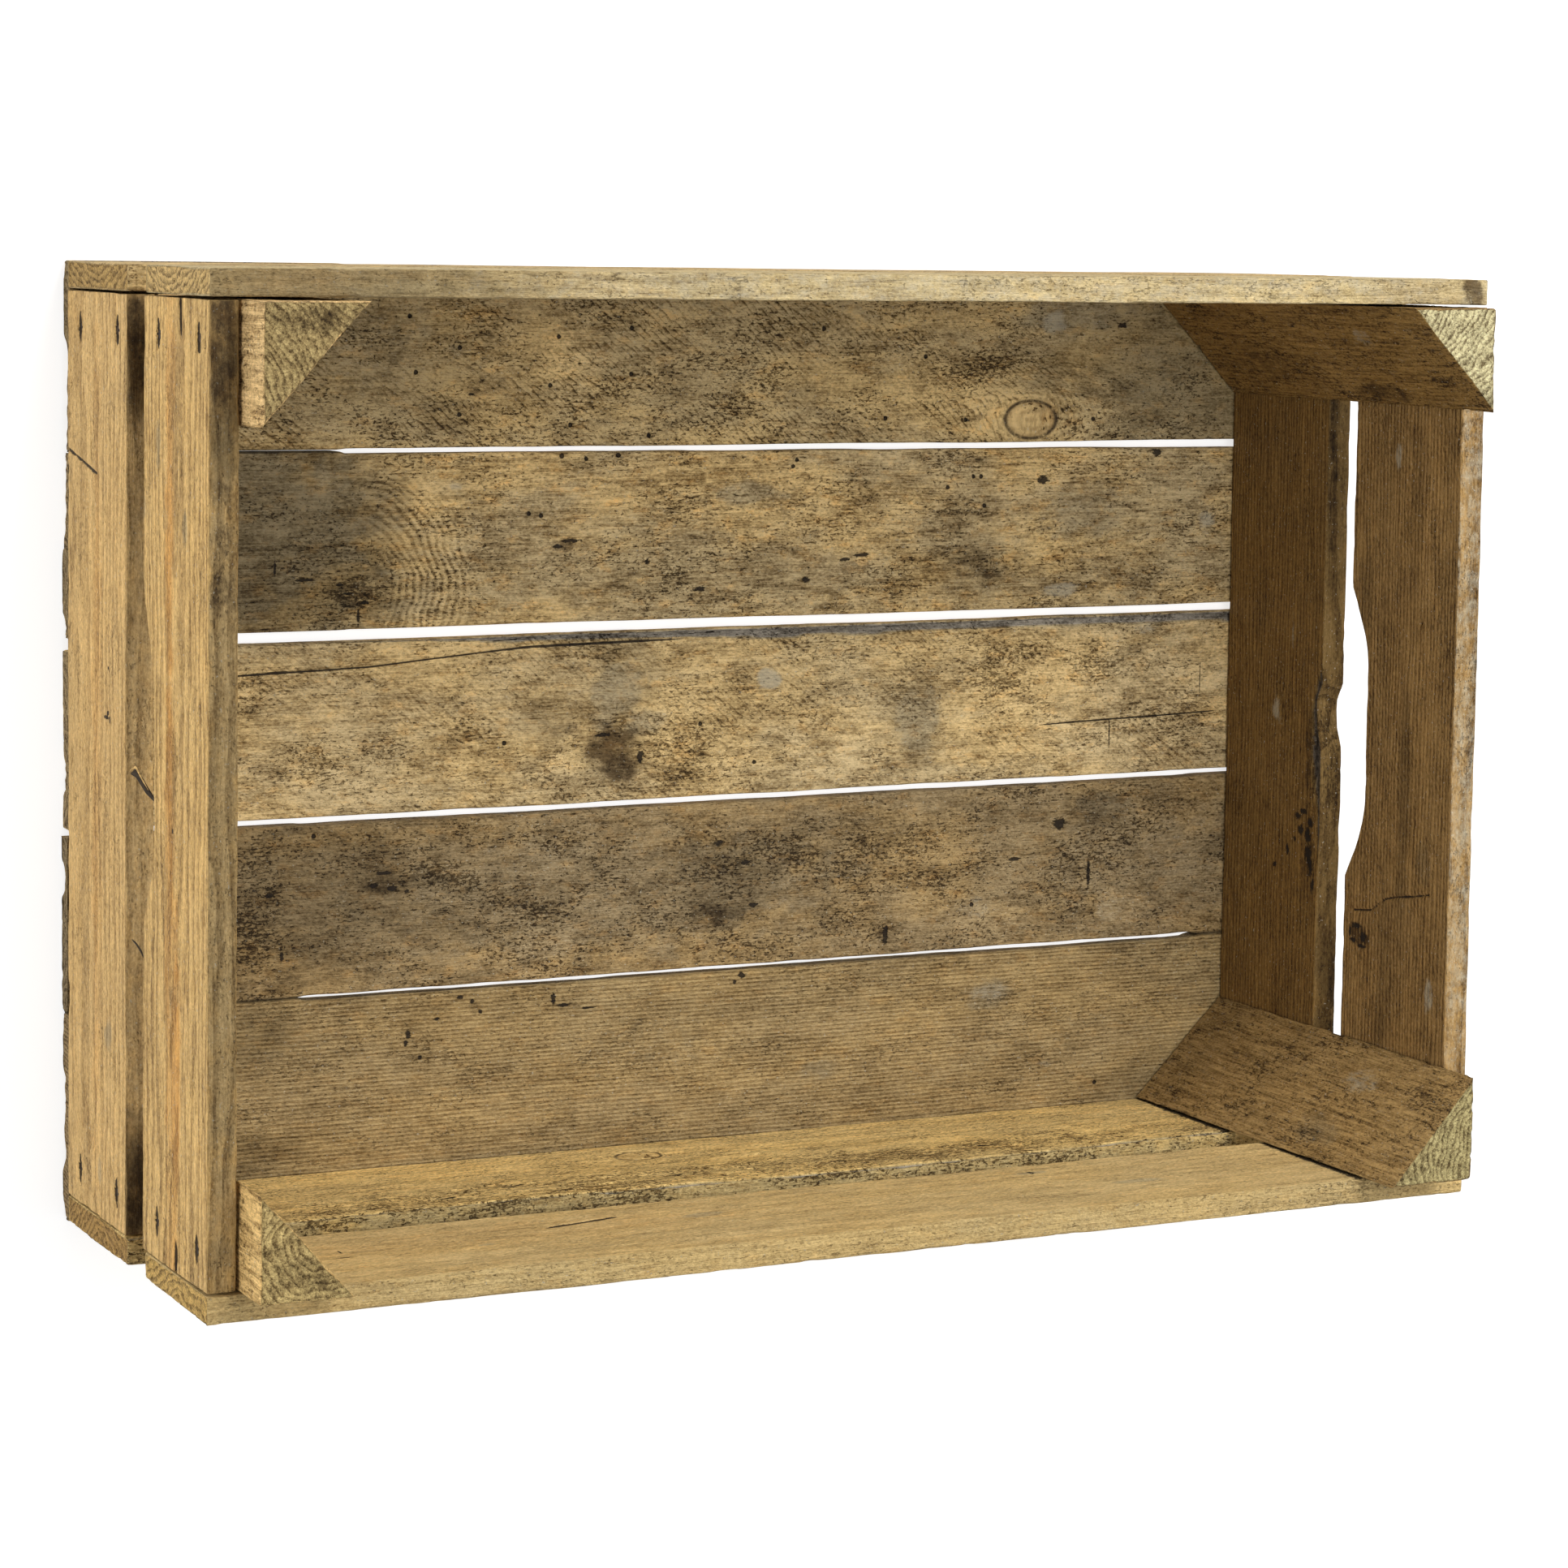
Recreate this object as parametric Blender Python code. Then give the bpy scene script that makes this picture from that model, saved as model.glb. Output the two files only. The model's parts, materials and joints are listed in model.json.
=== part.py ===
"""Slatted wooden apple crate: floor boards, end and side slats, corner posts and the nails that hold them.

The crate stands the way it is filled, with its floor boards down and its opening up.
+X runs along its length, +Y across its width and +Z up out of the opening.
The origin is the middle of its footprint, on the surface that it stands on.
Left and right are its two ends at -X and +X, front and back its two long sides at -Y and +Y.
"""
import math

import bmesh
import bpy
from mathutils import Vector

# Overall sizes, in metres
CRATE_LENGTH = 0.600
CRATE_WIDTH = 0.417
RIM_HEIGHT = 0.2005
POST_HEIGHT = 0.226

# Board thicknesses
FLOOR_THICKNESS = 0.0092
END_THICKNESS = 0.0128
SIDE_THICKNESS = 0.0119

# Fits and edges
CLEARANCE = 0.0003
EASED_EDGE = 0.0006
EASED_EDGE_ANGLE = math.radians(40)
POST_TIP = 0.0015

# Floor boards, numbered from the back. The edges are distances from the crate's front face,
# first at the left end and then at the right end, because the boards were never sawn quite parallel.
FLOOR_BOARDS = [
    {"front": (0.3349, 0.3350), "back": (0.4170, 0.4170), "left_inset": 0.0010},
    {"front": (0.2548, 0.2549), "back": (0.3334, 0.3322), "left_inset": 0.0004},
    {"front": (0.1710, 0.1731), "back": (0.2497, 0.2515), "left_inset": 0.0002},
    {"front": (0.0912, 0.0921), "back": (0.1681, 0.1704), "left_inset": 0.0},
    {"front": (0.0, 0.0), "back": (0.0898, 0.0896), "left_inset": 0.0006},
]

# Heights of the gap between the lower and the upper slat
END_LOWER_TOP = 0.0935
END_UPPER_BOTTOM = 0.1160
SIDE_LOWER_TOP = 0.0940
SIDE_UPPER_BOTTOM = 0.1180

# The front lower slat keeps the wavy edge of the log: (distance from the left end, height of the edge)
FRONT_WAVY_EDGE = [
    (0.600, 0.094),
    (0.530, 0.092),
    (0.400, 0.099),
    (0.280, 0.096),
    (0.170, 0.092),
    (0.0, 0.096),
]

# Hand holds in the lower edge of the upper end slats, measured from the crate's front face
LEFT_HOLD = {"front": 0.147, "back": 0.282, "depth": 0.0140}
RIGHT_HOLD = {"front": 0.135, "back": 0.272, "depth": 0.0145}
HOLD_RAMP = 0.040
HOLD_RAMP_STEPS = 6

# A shallow broken notch in the upper edge of the right lower slat
NOTCH_MIDDLE = 0.208
NOTCH_WIDTH = 0.030
NOTCH_DEPTH = 0.0045

# Corner posts: the two legs of each triangle, along the crate's length and across its width
POST_LEGS = {
    ("left", "front"): (0.041, 0.046),
    ("right", "front"): (0.044, 0.048),
    ("left", "back"): (0.045, 0.050),
    ("right", "back"): (0.045, 0.047),
}

# Nails
NAIL_LENGTH = 0.032
NAIL_SHANK_RADIUS = 0.0011
NAIL_HEAD_RADIUS = 0.0024
NAIL_HEAD_THICKNESS = 0.0008
NAIL_POINT_LENGTH = 0.0030
NAIL_SUNK = 0.0012
NAIL_SIDES = 8
NAIL_SHARP_ANGLE = math.radians(50)
END_NAIL_INSET = 0.0278
END_NAIL_HEIGHTS = [0.0280, 0.0795, 0.1350, 0.1860]
SIDE_NAIL_INSET = 0.0300
SIDE_NAIL_HEIGHTS = [0.0410, 0.0680, 0.1480, 0.1740]
POST_FLOOR_NAIL = (0.0220, 0.0200)

HALF_LENGTH = CRATE_LENGTH / 2
HALF_WIDTH = CRATE_WIDTH / 2
END_SIGN = {"left": -1, "right": 1}
SIDE_SIGN = {"front": -1, "back": 1}

# Colour, roughness and metallic value of each material
MATERIALS = {
    "floor_board_1": ((0.207, 0.144, 0.067), 0.85, 0.0),
    "floor_board_2": ((0.249, 0.172, 0.080), 0.85, 0.0),
    "floor_board_3": ((0.376, 0.266, 0.122), 0.82, 0.0),
    "floor_board_4": ((0.201, 0.141, 0.070), 0.86, 0.0),
    "floor_board_5": ((0.305, 0.203, 0.088), 0.84, 0.0),
    "end_slats": ((0.560, 0.360, 0.150), 0.80, 0.0),
    "side_slats": ((0.480, 0.330, 0.135), 0.80, 0.0),
    "corner_posts": ((0.400, 0.290, 0.130), 0.82, 0.0),
    "rusty_nails": ((0.045, 0.030, 0.022), 0.75, 0.6),
}


def clear_scene():
    for leftover in list(bpy.data.objects):
        bpy.data.objects.remove(leftover, do_unlink=True)


def make_material(name):
    colour, roughness, metallic = MATERIALS[name]
    material = bpy.data.materials.new(name)
    material.use_nodes = True
    shader = material.node_tree.nodes["Principled BSDF"]
    shader.inputs["Base Color"].default_value = (*colour, 1.0)
    shader.inputs["Roughness"].default_value = roughness
    shader.inputs["Metallic"].default_value = metallic
    material.diffuse_color = (*colour, 1.0)
    return material


def place(name, mesh, parent, location):
    piece = bpy.data.objects.new(name, mesh)
    bpy.context.scene.collection.objects.link(piece)
    piece.parent = parent
    piece.location = location
    return piece


def prism_mesh(name, outline, thickness):
    """A flat piece of wood: its outline in local X and Y, its thickness up local Z."""
    shape = bmesh.new()
    corners = [shape.verts.new((x, y, 0.0)) for x, y in outline]
    face = shape.faces.new(corners)
    extruded = bmesh.ops.extrude_face_region(shape, geom=[face])
    raised = [item for item in extruded["geom"] if isinstance(item, bmesh.types.BMVert)]
    bmesh.ops.translate(shape, verts=raised, vec=(0.0, 0.0, thickness))
    bmesh.ops.recalc_face_normals(shape, faces=shape.faces)
    mesh = bpy.data.meshes.new(name)
    shape.to_mesh(mesh)
    shape.free()
    return mesh


def turned_mesh(name, profile, sides):
    """A turned piece about local Z from (radius, height) rings, top first. A last radius of 0 is a point."""
    shape = bmesh.new()
    rings = []
    for radius, height in profile:
        if radius == 0.0:
            rings.append([shape.verts.new((0.0, 0.0, height))])
            continue
        angles = [2 * math.pi * step / sides for step in range(sides)]
        rings.append([shape.verts.new((radius * math.cos(a), radius * math.sin(a), height)) for a in angles])
    for upper, lower in zip(rings, rings[1:]):
        for step in range(sides):
            following = (step + 1) % sides
            if len(lower) == 1:
                shape.faces.new([upper[step], lower[0], upper[following]])
            else:
                shape.faces.new([upper[step], lower[step], lower[following], upper[following]])
    shape.faces.new(rings[0])
    if len(rings[-1]) > 1:
        shape.faces.new(list(reversed(rings[-1])))
    bmesh.ops.recalc_face_normals(shape, faces=shape.faces)
    mesh = bpy.data.meshes.new(name)
    shape.to_mesh(mesh)
    shape.free()
    return mesh


def nail_profile(growth):
    """A nail from the top of its head to its point, grown all round by the given amount."""
    head_top = growth
    head_bottom = -NAIL_HEAD_THICKNESS - growth
    shank_end = -NAIL_LENGTH + NAIL_POINT_LENGTH
    head_radius = NAIL_HEAD_RADIUS + growth
    shank_radius = NAIL_SHANK_RADIUS + growth
    return [(head_radius, head_top), (head_radius, head_bottom), (shank_radius, head_bottom),
            (shank_radius, shank_end), (0.0, -NAIL_LENGTH - 2 * growth)]


def nail_hole_profile():
    """The hole that a nail sits in, open where the head is sunk below the wood."""
    profile = nail_profile(CLEARANCE)
    mouth_radius = profile[0][0]
    profile[0] = (mouth_radius, 2 * NAIL_SUNK)
    return profile


def ease_edges(piece):
    eased = piece.modifiers.new("eased edges", "BEVEL")
    eased.width = EASED_EDGE
    eased.segments = 1
    eased.limit_method = "ANGLE"
    eased.angle_limit = EASED_EDGE_ANGLE


def drill_nail_holes(piece, holes):
    drilled = piece.modifiers.new("nail holes", "BOOLEAN")
    drilled.operation = "DIFFERENCE"
    drilled.solver = "EXACT"
    drilled.operand_type = "COLLECTION"
    drilled.collection = holes


def wooden_piece(name, outline, thickness, material, parent, location, rotation=(0.0, 0.0, 0.0)):
    piece = place(name, prism_mesh(name, outline, thickness), parent, location)
    piece.rotation_euler = rotation
    piece.data.materials.append(material)
    ease_edges(piece)
    return piece


def make_floor_boards(crate):
    boards = []
    for number, board in enumerate(FLOOR_BOARDS, start=1):
        name = f"floor_board_{number}"
        front_left, front_right = board["front"]
        back_left, back_right = board["back"]
        left = -HALF_LENGTH + board["left_inset"]
        outline = [
            (left, front_left - HALF_WIDTH),
            (HALF_LENGTH, front_right - HALF_WIDTH),
            (HALF_LENGTH, back_right - HALF_WIDTH),
            (left, back_left - HALF_WIDTH),
        ]
        on_ground = (0.0, 0.0, 0.0)
        boards.append(wooden_piece(name, outline, FLOOR_THICKNESS, make_material(name), crate, on_ground))
    return boards


def hand_hold_edge(hold):
    """The lower edge of an upper end slat, from front to back, arched over the hand hold."""
    points = []
    for step in range(HOLD_RAMP_STEPS + 1):
        along = step / HOLD_RAMP_STEPS
        rise = hold["depth"] * math.sin(math.pi / 2 * along)
        points.append((hold["front"] + HOLD_RAMP * along - HALF_WIDTH, END_UPPER_BOTTOM + rise))
    for step in range(HOLD_RAMP_STEPS + 1):
        along = step / HOLD_RAMP_STEPS
        rise = hold["depth"] * math.cos(math.pi / 2 * along)
        points.append((hold["back"] - HOLD_RAMP * (1 - along) - HALF_WIDTH, END_UPPER_BOTTOM + rise))
    return points


def notched_edge():
    """The upper edge of the right lower slat, from back to front, with its broken notch."""
    middle = NOTCH_MIDDLE - HALF_WIDTH
    half = NOTCH_WIDTH / 2
    return [
        (middle + half, END_LOWER_TOP),
        (middle + half / 2, END_LOWER_TOP - NOTCH_DEPTH),
        (middle - half / 3, END_LOWER_TOP - 0.8 * NOTCH_DEPTH),
        (middle - half, END_LOWER_TOP),
    ]


def make_end_slats(crate, material):
    """Two slats on each end, between the side slats. Their local X is the crate's Y and local Y its Z."""
    reach = HALF_WIDTH - SIDE_THICKNESS - CLEARANCE
    bottom = FLOOR_THICKNESS + CLEARANCE
    lower_corners = [(-reach, bottom), (reach, bottom), (reach, END_LOWER_TOP)]
    upper_corners = [
        (reach, END_UPPER_BOTTOM),
        (reach, RIM_HEIGHT),
        (-reach, RIM_HEIGHT),
        (-reach, END_UPPER_BOTTOM),
    ]
    outlines = {
        ("left", "lower"): lower_corners + [(-reach, END_LOWER_TOP)],
        ("right", "lower"): lower_corners + notched_edge() + [(-reach, END_LOWER_TOP)],
        ("left", "upper"): upper_corners + hand_hold_edge(LEFT_HOLD),
        ("right", "upper"): upper_corners + hand_hold_edge(RIGHT_HOLD),
    }
    start = {"left": -HALF_LENGTH, "right": HALF_LENGTH - END_THICKNESS}
    upright = (math.pi / 2, 0.0, math.pi / 2)
    slats = []
    for (end, row), outline in outlines.items():
        name = f"{end}_end_{row}_slat"
        location = (start[end], 0.0, 0.0)
        slats.append(wooden_piece(name, outline, END_THICKNESS, material, crate, location, upright))
    return slats


def make_side_slats(crate, material):
    """Two slats on each long side, over the full length. Their local X is the crate's X and local Y its Z."""
    bottom = FLOOR_THICKNESS + CLEARANCE
    bottom_corners = [(-HALF_LENGTH, bottom), (HALF_LENGTH, bottom)]
    straight_top = [(HALF_LENGTH, SIDE_LOWER_TOP), (-HALF_LENGTH, SIDE_LOWER_TOP)]
    wavy_top = [(along - HALF_LENGTH, height) for along, height in FRONT_WAVY_EDGE]
    upper = [
        (-HALF_LENGTH, SIDE_UPPER_BOTTOM),
        (HALF_LENGTH, SIDE_UPPER_BOTTOM),
        (HALF_LENGTH, RIM_HEIGHT),
        (-HALF_LENGTH, RIM_HEIGHT),
    ]
    outlines = {
        ("front", "lower"): bottom_corners + wavy_top,
        ("front", "upper"): upper,
        ("back", "lower"): bottom_corners + straight_top,
        ("back", "upper"): upper,
    }
    start = {"front": -HALF_WIDTH + SIDE_THICKNESS, "back": HALF_WIDTH}
    upright = (math.pi / 2, 0.0, 0.0)
    slats = []
    for (side, row), outline in outlines.items():
        name = f"{side}_side_{row}_slat"
        location = (0.0, start[side], 0.0)
        slats.append(wooden_piece(name, outline, SIDE_THICKNESS, material, crate, location, upright))
    return slats


def make_corner_posts(crate, material):
    """A three-cornered post in each corner, from the floor boards to above the rim."""
    bottom = FLOOR_THICKNESS + CLEARANCE
    corner_x = HALF_LENGTH - END_THICKNESS - CLEARANCE
    corner_y = HALF_WIDTH - SIDE_THICKNESS - CLEARANCE
    posts = []
    for (end, side), (leg_x, leg_y) in POST_LEGS.items():
        toward_x = -END_SIGN[end]
        toward_y = -SIDE_SIGN[side]
        outline = [
            (0.0, 0.0),
            (toward_x * leg_x, 0.0),
            (toward_x * leg_x, toward_y * POST_TIP),
            (toward_x * POST_TIP, toward_y * leg_y),
            (0.0, toward_y * leg_y),
        ]
        location = (END_SIGN[end] * corner_x, SIDE_SIGN[side] * corner_y, bottom)
        name = f"corner_post_{side}_{end}"
        posts.append(wooden_piece(name, outline, POST_HEIGHT - bottom, material, crate, location))
    return posts


def nail_places():
    """Where each nail's head sits and which way it faces: {name: (head position, outward direction)}."""
    places = {}
    for end, end_sign in END_SIGN.items():
        for side, side_sign in SIDE_SIGN.items():
            in_end = (end_sign * (HALF_LENGTH - NAIL_SUNK), side_sign * (HALF_WIDTH - END_NAIL_INSET))
            for number, height in enumerate(END_NAIL_HEIGHTS, start=1):
                places[f"nail_{end}_end_{side}_{number}"] = ((*in_end, height), (end_sign, 0, 0))
            in_side = (end_sign * (HALF_LENGTH - SIDE_NAIL_INSET), side_sign * (HALF_WIDTH - NAIL_SUNK))
            for number, height in enumerate(SIDE_NAIL_HEIGHTS, start=1):
                places[f"nail_{side}_side_{end}_{number}"] = ((*in_side, height), (0, side_sign, 0))
        places.update(floor_nail_places(end, end_sign))
    return places


def floor_nail_places(end, end_sign):
    """One nail at each end of each floor board: into a post from the outer boards, else into an end slat."""
    post_inset, post_side_inset = POST_FLOOR_NAIL
    places = {}
    for number, board in enumerate(FLOOR_BOARDS, start=1):
        across = (board["front"][0] + board["back"][0]) / 2 - HALF_WIDTH
        inset = END_THICKNESS / 2
        if number == 1:
            across = HALF_WIDTH - post_side_inset
            inset = post_inset
        if number == len(FLOOR_BOARDS):
            across = -HALF_WIDTH + post_side_inset
            inset = post_inset
        head = (end_sign * (HALF_LENGTH - inset), across, NAIL_SUNK)
        places[f"nail_floor_{end}_{number}"] = (head, (0, 0, -1))
    return places


def face_outward(piece, outward):
    piece.rotation_mode = "QUATERNION"
    piece.rotation_quaternion = Vector(outward).to_track_quat("Z", "Y")


def make_nails(crate, material):
    nail_mesh = turned_mesh("nail", nail_profile(0.0), NAIL_SIDES)
    nail_mesh.materials.append(material)
    nail_mesh.shade_smooth()
    nail_mesh.set_sharp_from_angle(angle=NAIL_SHARP_ANGLE)
    for name, (head, outward) in nail_places().items():
        face_outward(place(name, nail_mesh, crate, head), outward)


def make_nail_holes(crate):
    holes = bpy.data.collections.new("nail holes")
    bpy.context.scene.collection.children.link(holes)
    hole_mesh = turned_mesh("nail hole", nail_hole_profile(), NAIL_SIDES)
    for name, (head, outward) in nail_places().items():
        cutter = bpy.data.objects.new(f"hole_for_{name}", hole_mesh)
        holes.objects.link(cutter)
        cutter.parent = crate
        cutter.location = head
        cutter.hide_render = True
        cutter.display_type = "WIRE"
        face_outward(cutter, outward)
    return holes


def main():
    clear_scene()
    crate = bpy.data.objects.new("crate", None)
    bpy.context.scene.collection.objects.link(crate)
    pieces = make_floor_boards(crate)
    pieces += make_end_slats(crate, make_material("end_slats"))
    pieces += make_side_slats(crate, make_material("side_slats"))
    pieces += make_corner_posts(crate, make_material("corner_posts"))
    make_nails(crate, make_material("rusty_nails"))
    holes = make_nail_holes(crate)
    for piece in pieces:
        drill_nail_holes(piece, holes)


main()
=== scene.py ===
"""Looks of the wooden apple crate: weathered boards, corner posts, nails and splinters.

Places in the tables are in millimetres: x from the left end, y from the front face, z up from the ground.
Every board has its own directions: "along" the grain, "across" the face, and "through" the thickness.
"""

import json
import math

import bpy
import numpy as np
from mathutils import Matrix, Vector

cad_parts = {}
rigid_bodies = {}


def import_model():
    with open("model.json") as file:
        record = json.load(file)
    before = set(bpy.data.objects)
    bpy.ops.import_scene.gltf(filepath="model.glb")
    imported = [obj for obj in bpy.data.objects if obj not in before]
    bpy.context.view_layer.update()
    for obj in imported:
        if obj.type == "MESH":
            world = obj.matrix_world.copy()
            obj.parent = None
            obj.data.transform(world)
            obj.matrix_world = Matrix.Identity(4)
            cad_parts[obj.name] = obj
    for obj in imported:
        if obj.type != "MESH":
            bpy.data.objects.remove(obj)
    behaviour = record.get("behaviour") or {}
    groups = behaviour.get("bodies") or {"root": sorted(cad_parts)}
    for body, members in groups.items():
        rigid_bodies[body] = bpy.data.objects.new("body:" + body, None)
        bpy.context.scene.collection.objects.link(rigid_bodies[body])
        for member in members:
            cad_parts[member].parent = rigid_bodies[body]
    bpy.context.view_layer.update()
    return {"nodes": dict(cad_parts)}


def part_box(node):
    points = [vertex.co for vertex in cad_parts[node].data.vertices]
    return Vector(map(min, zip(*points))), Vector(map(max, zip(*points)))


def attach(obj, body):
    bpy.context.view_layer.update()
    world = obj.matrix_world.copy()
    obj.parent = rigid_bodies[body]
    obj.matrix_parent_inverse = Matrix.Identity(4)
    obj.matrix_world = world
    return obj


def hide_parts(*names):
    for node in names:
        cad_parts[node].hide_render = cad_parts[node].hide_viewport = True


MM = 0.001
CORNER = np.array([-300.0, -208.5, 0.0])
AXES = {"x": 0, "y": 1, "z": 2}

# ---------------------------------------------------------------- boards

# How finely the boards are meshed, in mm
CELL_ALONG = 2.2
CELL_ACROSS = 1.5
CELL_THROUGH = 3.0
FINEST_CELL = 0.55

# name: (along, across, through, side that is seen: +1 is the far face in the through direction)
BOARDS = {f"floor_board_{number}": ("x", "y", "z", 1) for number in range(1, 6)}
for slat_end in ("left", "right"):
    for level in ("lower", "upper"):
        BOARDS[f"{slat_end}_end_{level}_slat"] = ("y", "z", "x", -1)
for slat_side in ("front", "back"):
    for level in ("lower", "upper"):
        BOARDS[f"{slat_side}_side_{level}_slat"] = ("x", "z", "y", 1)

# Edges that are not straight and level: (along, across) points of the low edge, then of the high edge
EDGES = {
    "floor_board_1": ([(0, 334.9), (600, 335.0)], None),
    "floor_board_2": ([(0, 254.8), (600, 254.9)], [(0, 334.6), (120, 334.3), (150, 333.6), (600, 332.2)]),
    "floor_board_3": ([(0, 171.0), (600, 173.1)], [(0, 249.7), (600, 251.5)]),
    "floor_board_4": (
        [(0, 91.3), (100, 91.3), (150, 91.5), (568, 92.0), (575, 91.4), (600, 91.4)],
        [(0, 168.1), (600, 170.4)]),
    "floor_board_5": (None, [(0, 91.2), (100, 91.1), (135, 90.2), (568, 89.9), (575, 91.1), (600, 91.1)]),
    "front_side_lower_slat": (
        None, [(0, 96.0), (170, 92.0), (280, 96.0), (400, 99.0), (530, 92.0), (600, 94.0)]),
    "right_end_lower_slat": (
        None, [(0, 93.5), (192, 93.5), (202, 89.9), (215.5, 89.0), (223.5, 93.5), (417, 93.5)]),
}

# Where two boards touch, so that their edges are straight there: lengths along the board
TOUCHING = {
    "floor_board_1": [(0, 122)],
    "floor_board_2": [(0, 122)],
    "floor_board_4": [(0, 104), (574, 600)],
    "floor_board_5": [(0, 104), (574, 600)],
}
# The edge of each board that touches the neighbour
SEAM_SIDES = {
    "floor_board_1": "low",
    "floor_board_2": "high",
    "floor_board_4": "low",
    "floor_board_5": "high",
}
# How far a board may reach over its CAD node's edge there
TOUCH_REACH = 1.5
# The deepest that anything may be sunk into a board, as a share of its thickness
DEEPEST_SHARE = 0.42

# The smooth finger holds in the low edge of the upper end slats: (front, back, depth)
HOLDS = {
    "left_end_upper_slat": (147.0, 282.0, 14.0),
    "right_end_upper_slat": (135.0, 272.0, 14.5),
}
# How long the sloping part at each end of a hold is
HOLD_RAMP = 40.0

# Where the rough outside of the log begins below the high edge: (how steeply it falls away,
# (along, across) points)
BARK = {
    "floor_board_3": (
        0.35, [(60, 250.4), (150, 248.2), (250, 246.2), (341, 245.0), (450, 246.0), (600, 245.6)]),
    "front_side_lower_slat": (
        0.9, [(0, 92.5), (170, 89.0), (230, 90.5), (300, 94.0), (400, 95.8), (530, 88.5), (600, 90.5)]),
    "right_end_lower_slat": (
        0.8, [(0, 99), (128, 99), (142, 91), (165, 90), (188, 86), (212, 84.5), (228, 90), (240, 99),
            (417, 99)]),
}

# Open cracks in the seen face: (width, points (along, across) of one line), and how deep they are
CRACK_DEPTH = 1.8
CRACKS = {
    "floor_board_3": [
        (0.35, [(60, 235.4), (78, 236), (138, 237.9), (180, 241.6), (216, 244.7), (265, 245.6),
            (300, 246.2)]),
        (0.3, [(479, 198.5), (505, 199.4), (530, 200.2), (560, 201.0), (587, 202)]),
    ],
    "left_end_upper_slat": [
        (1.1, [(-12, 161.4), (0, 161), (12, 160.3), (27, 159.5)]),
        (1.1, [(388, 163.6), (405, 163.2), (417, 162.6), (429, 162)]),
    ],
    "front_side_upper_slat": [(1.0, [(168, 144), (190, 140), (206, 137)])],
    "left_end_lower_slat": [(0.4, [(330, 44.5), (334, 44), (352, 43)])],
}

# Cracks across the grain, which step from fibre to fibre: (depth, width, points (along, across))
TEARS = {
    "right_end_upper_slat": (
        0.85, 0.75, [(120, 124), (122, 138), (129, 150), (131, 158), (133, 170), (136, 185)]),
    "left_end_lower_slat": (0.8, 1.1, [(338, 3), (333, 28), (328, 52)]),
}

# Worm holes: (along, across) in the seen face
WORM_HOLES = {
    "floor_board_1": [(157, 394), (181, 380), (160, 369), (181, 350), (229, 385), (265, 368), (265, 389),
        (225, 363), (235, 345), (274, 340), (363, 389), (417, 376), (396, 347), (439, 346), (509, 346)],
    "floor_board_2": [(231, 331), (243, 329.6), (259, 331), (215, 305), (221, 304), (348, 325), (350, 328),
        (444, 319), (448, 319), (430, 314), (450, 305)],
    "floor_board_3": [(204, 201), (302, 206), (330, 187)],
    "floor_board_4": [(447, 113), (113, 163)],
    "floor_board_5": [(517.5, 21)],
    "front_side_lower_slat": [(228, 78), (316, 50)],
    "right_end_upper_slat": [(260, 172.5)],
}
# The radius of a worm hole's black spot, and the radius and depth of its pit in the mesh
HOLE_RADIUS = 1.0
PIT_RADIUS = 1.9
PIT_DEPTH = 2.6

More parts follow.
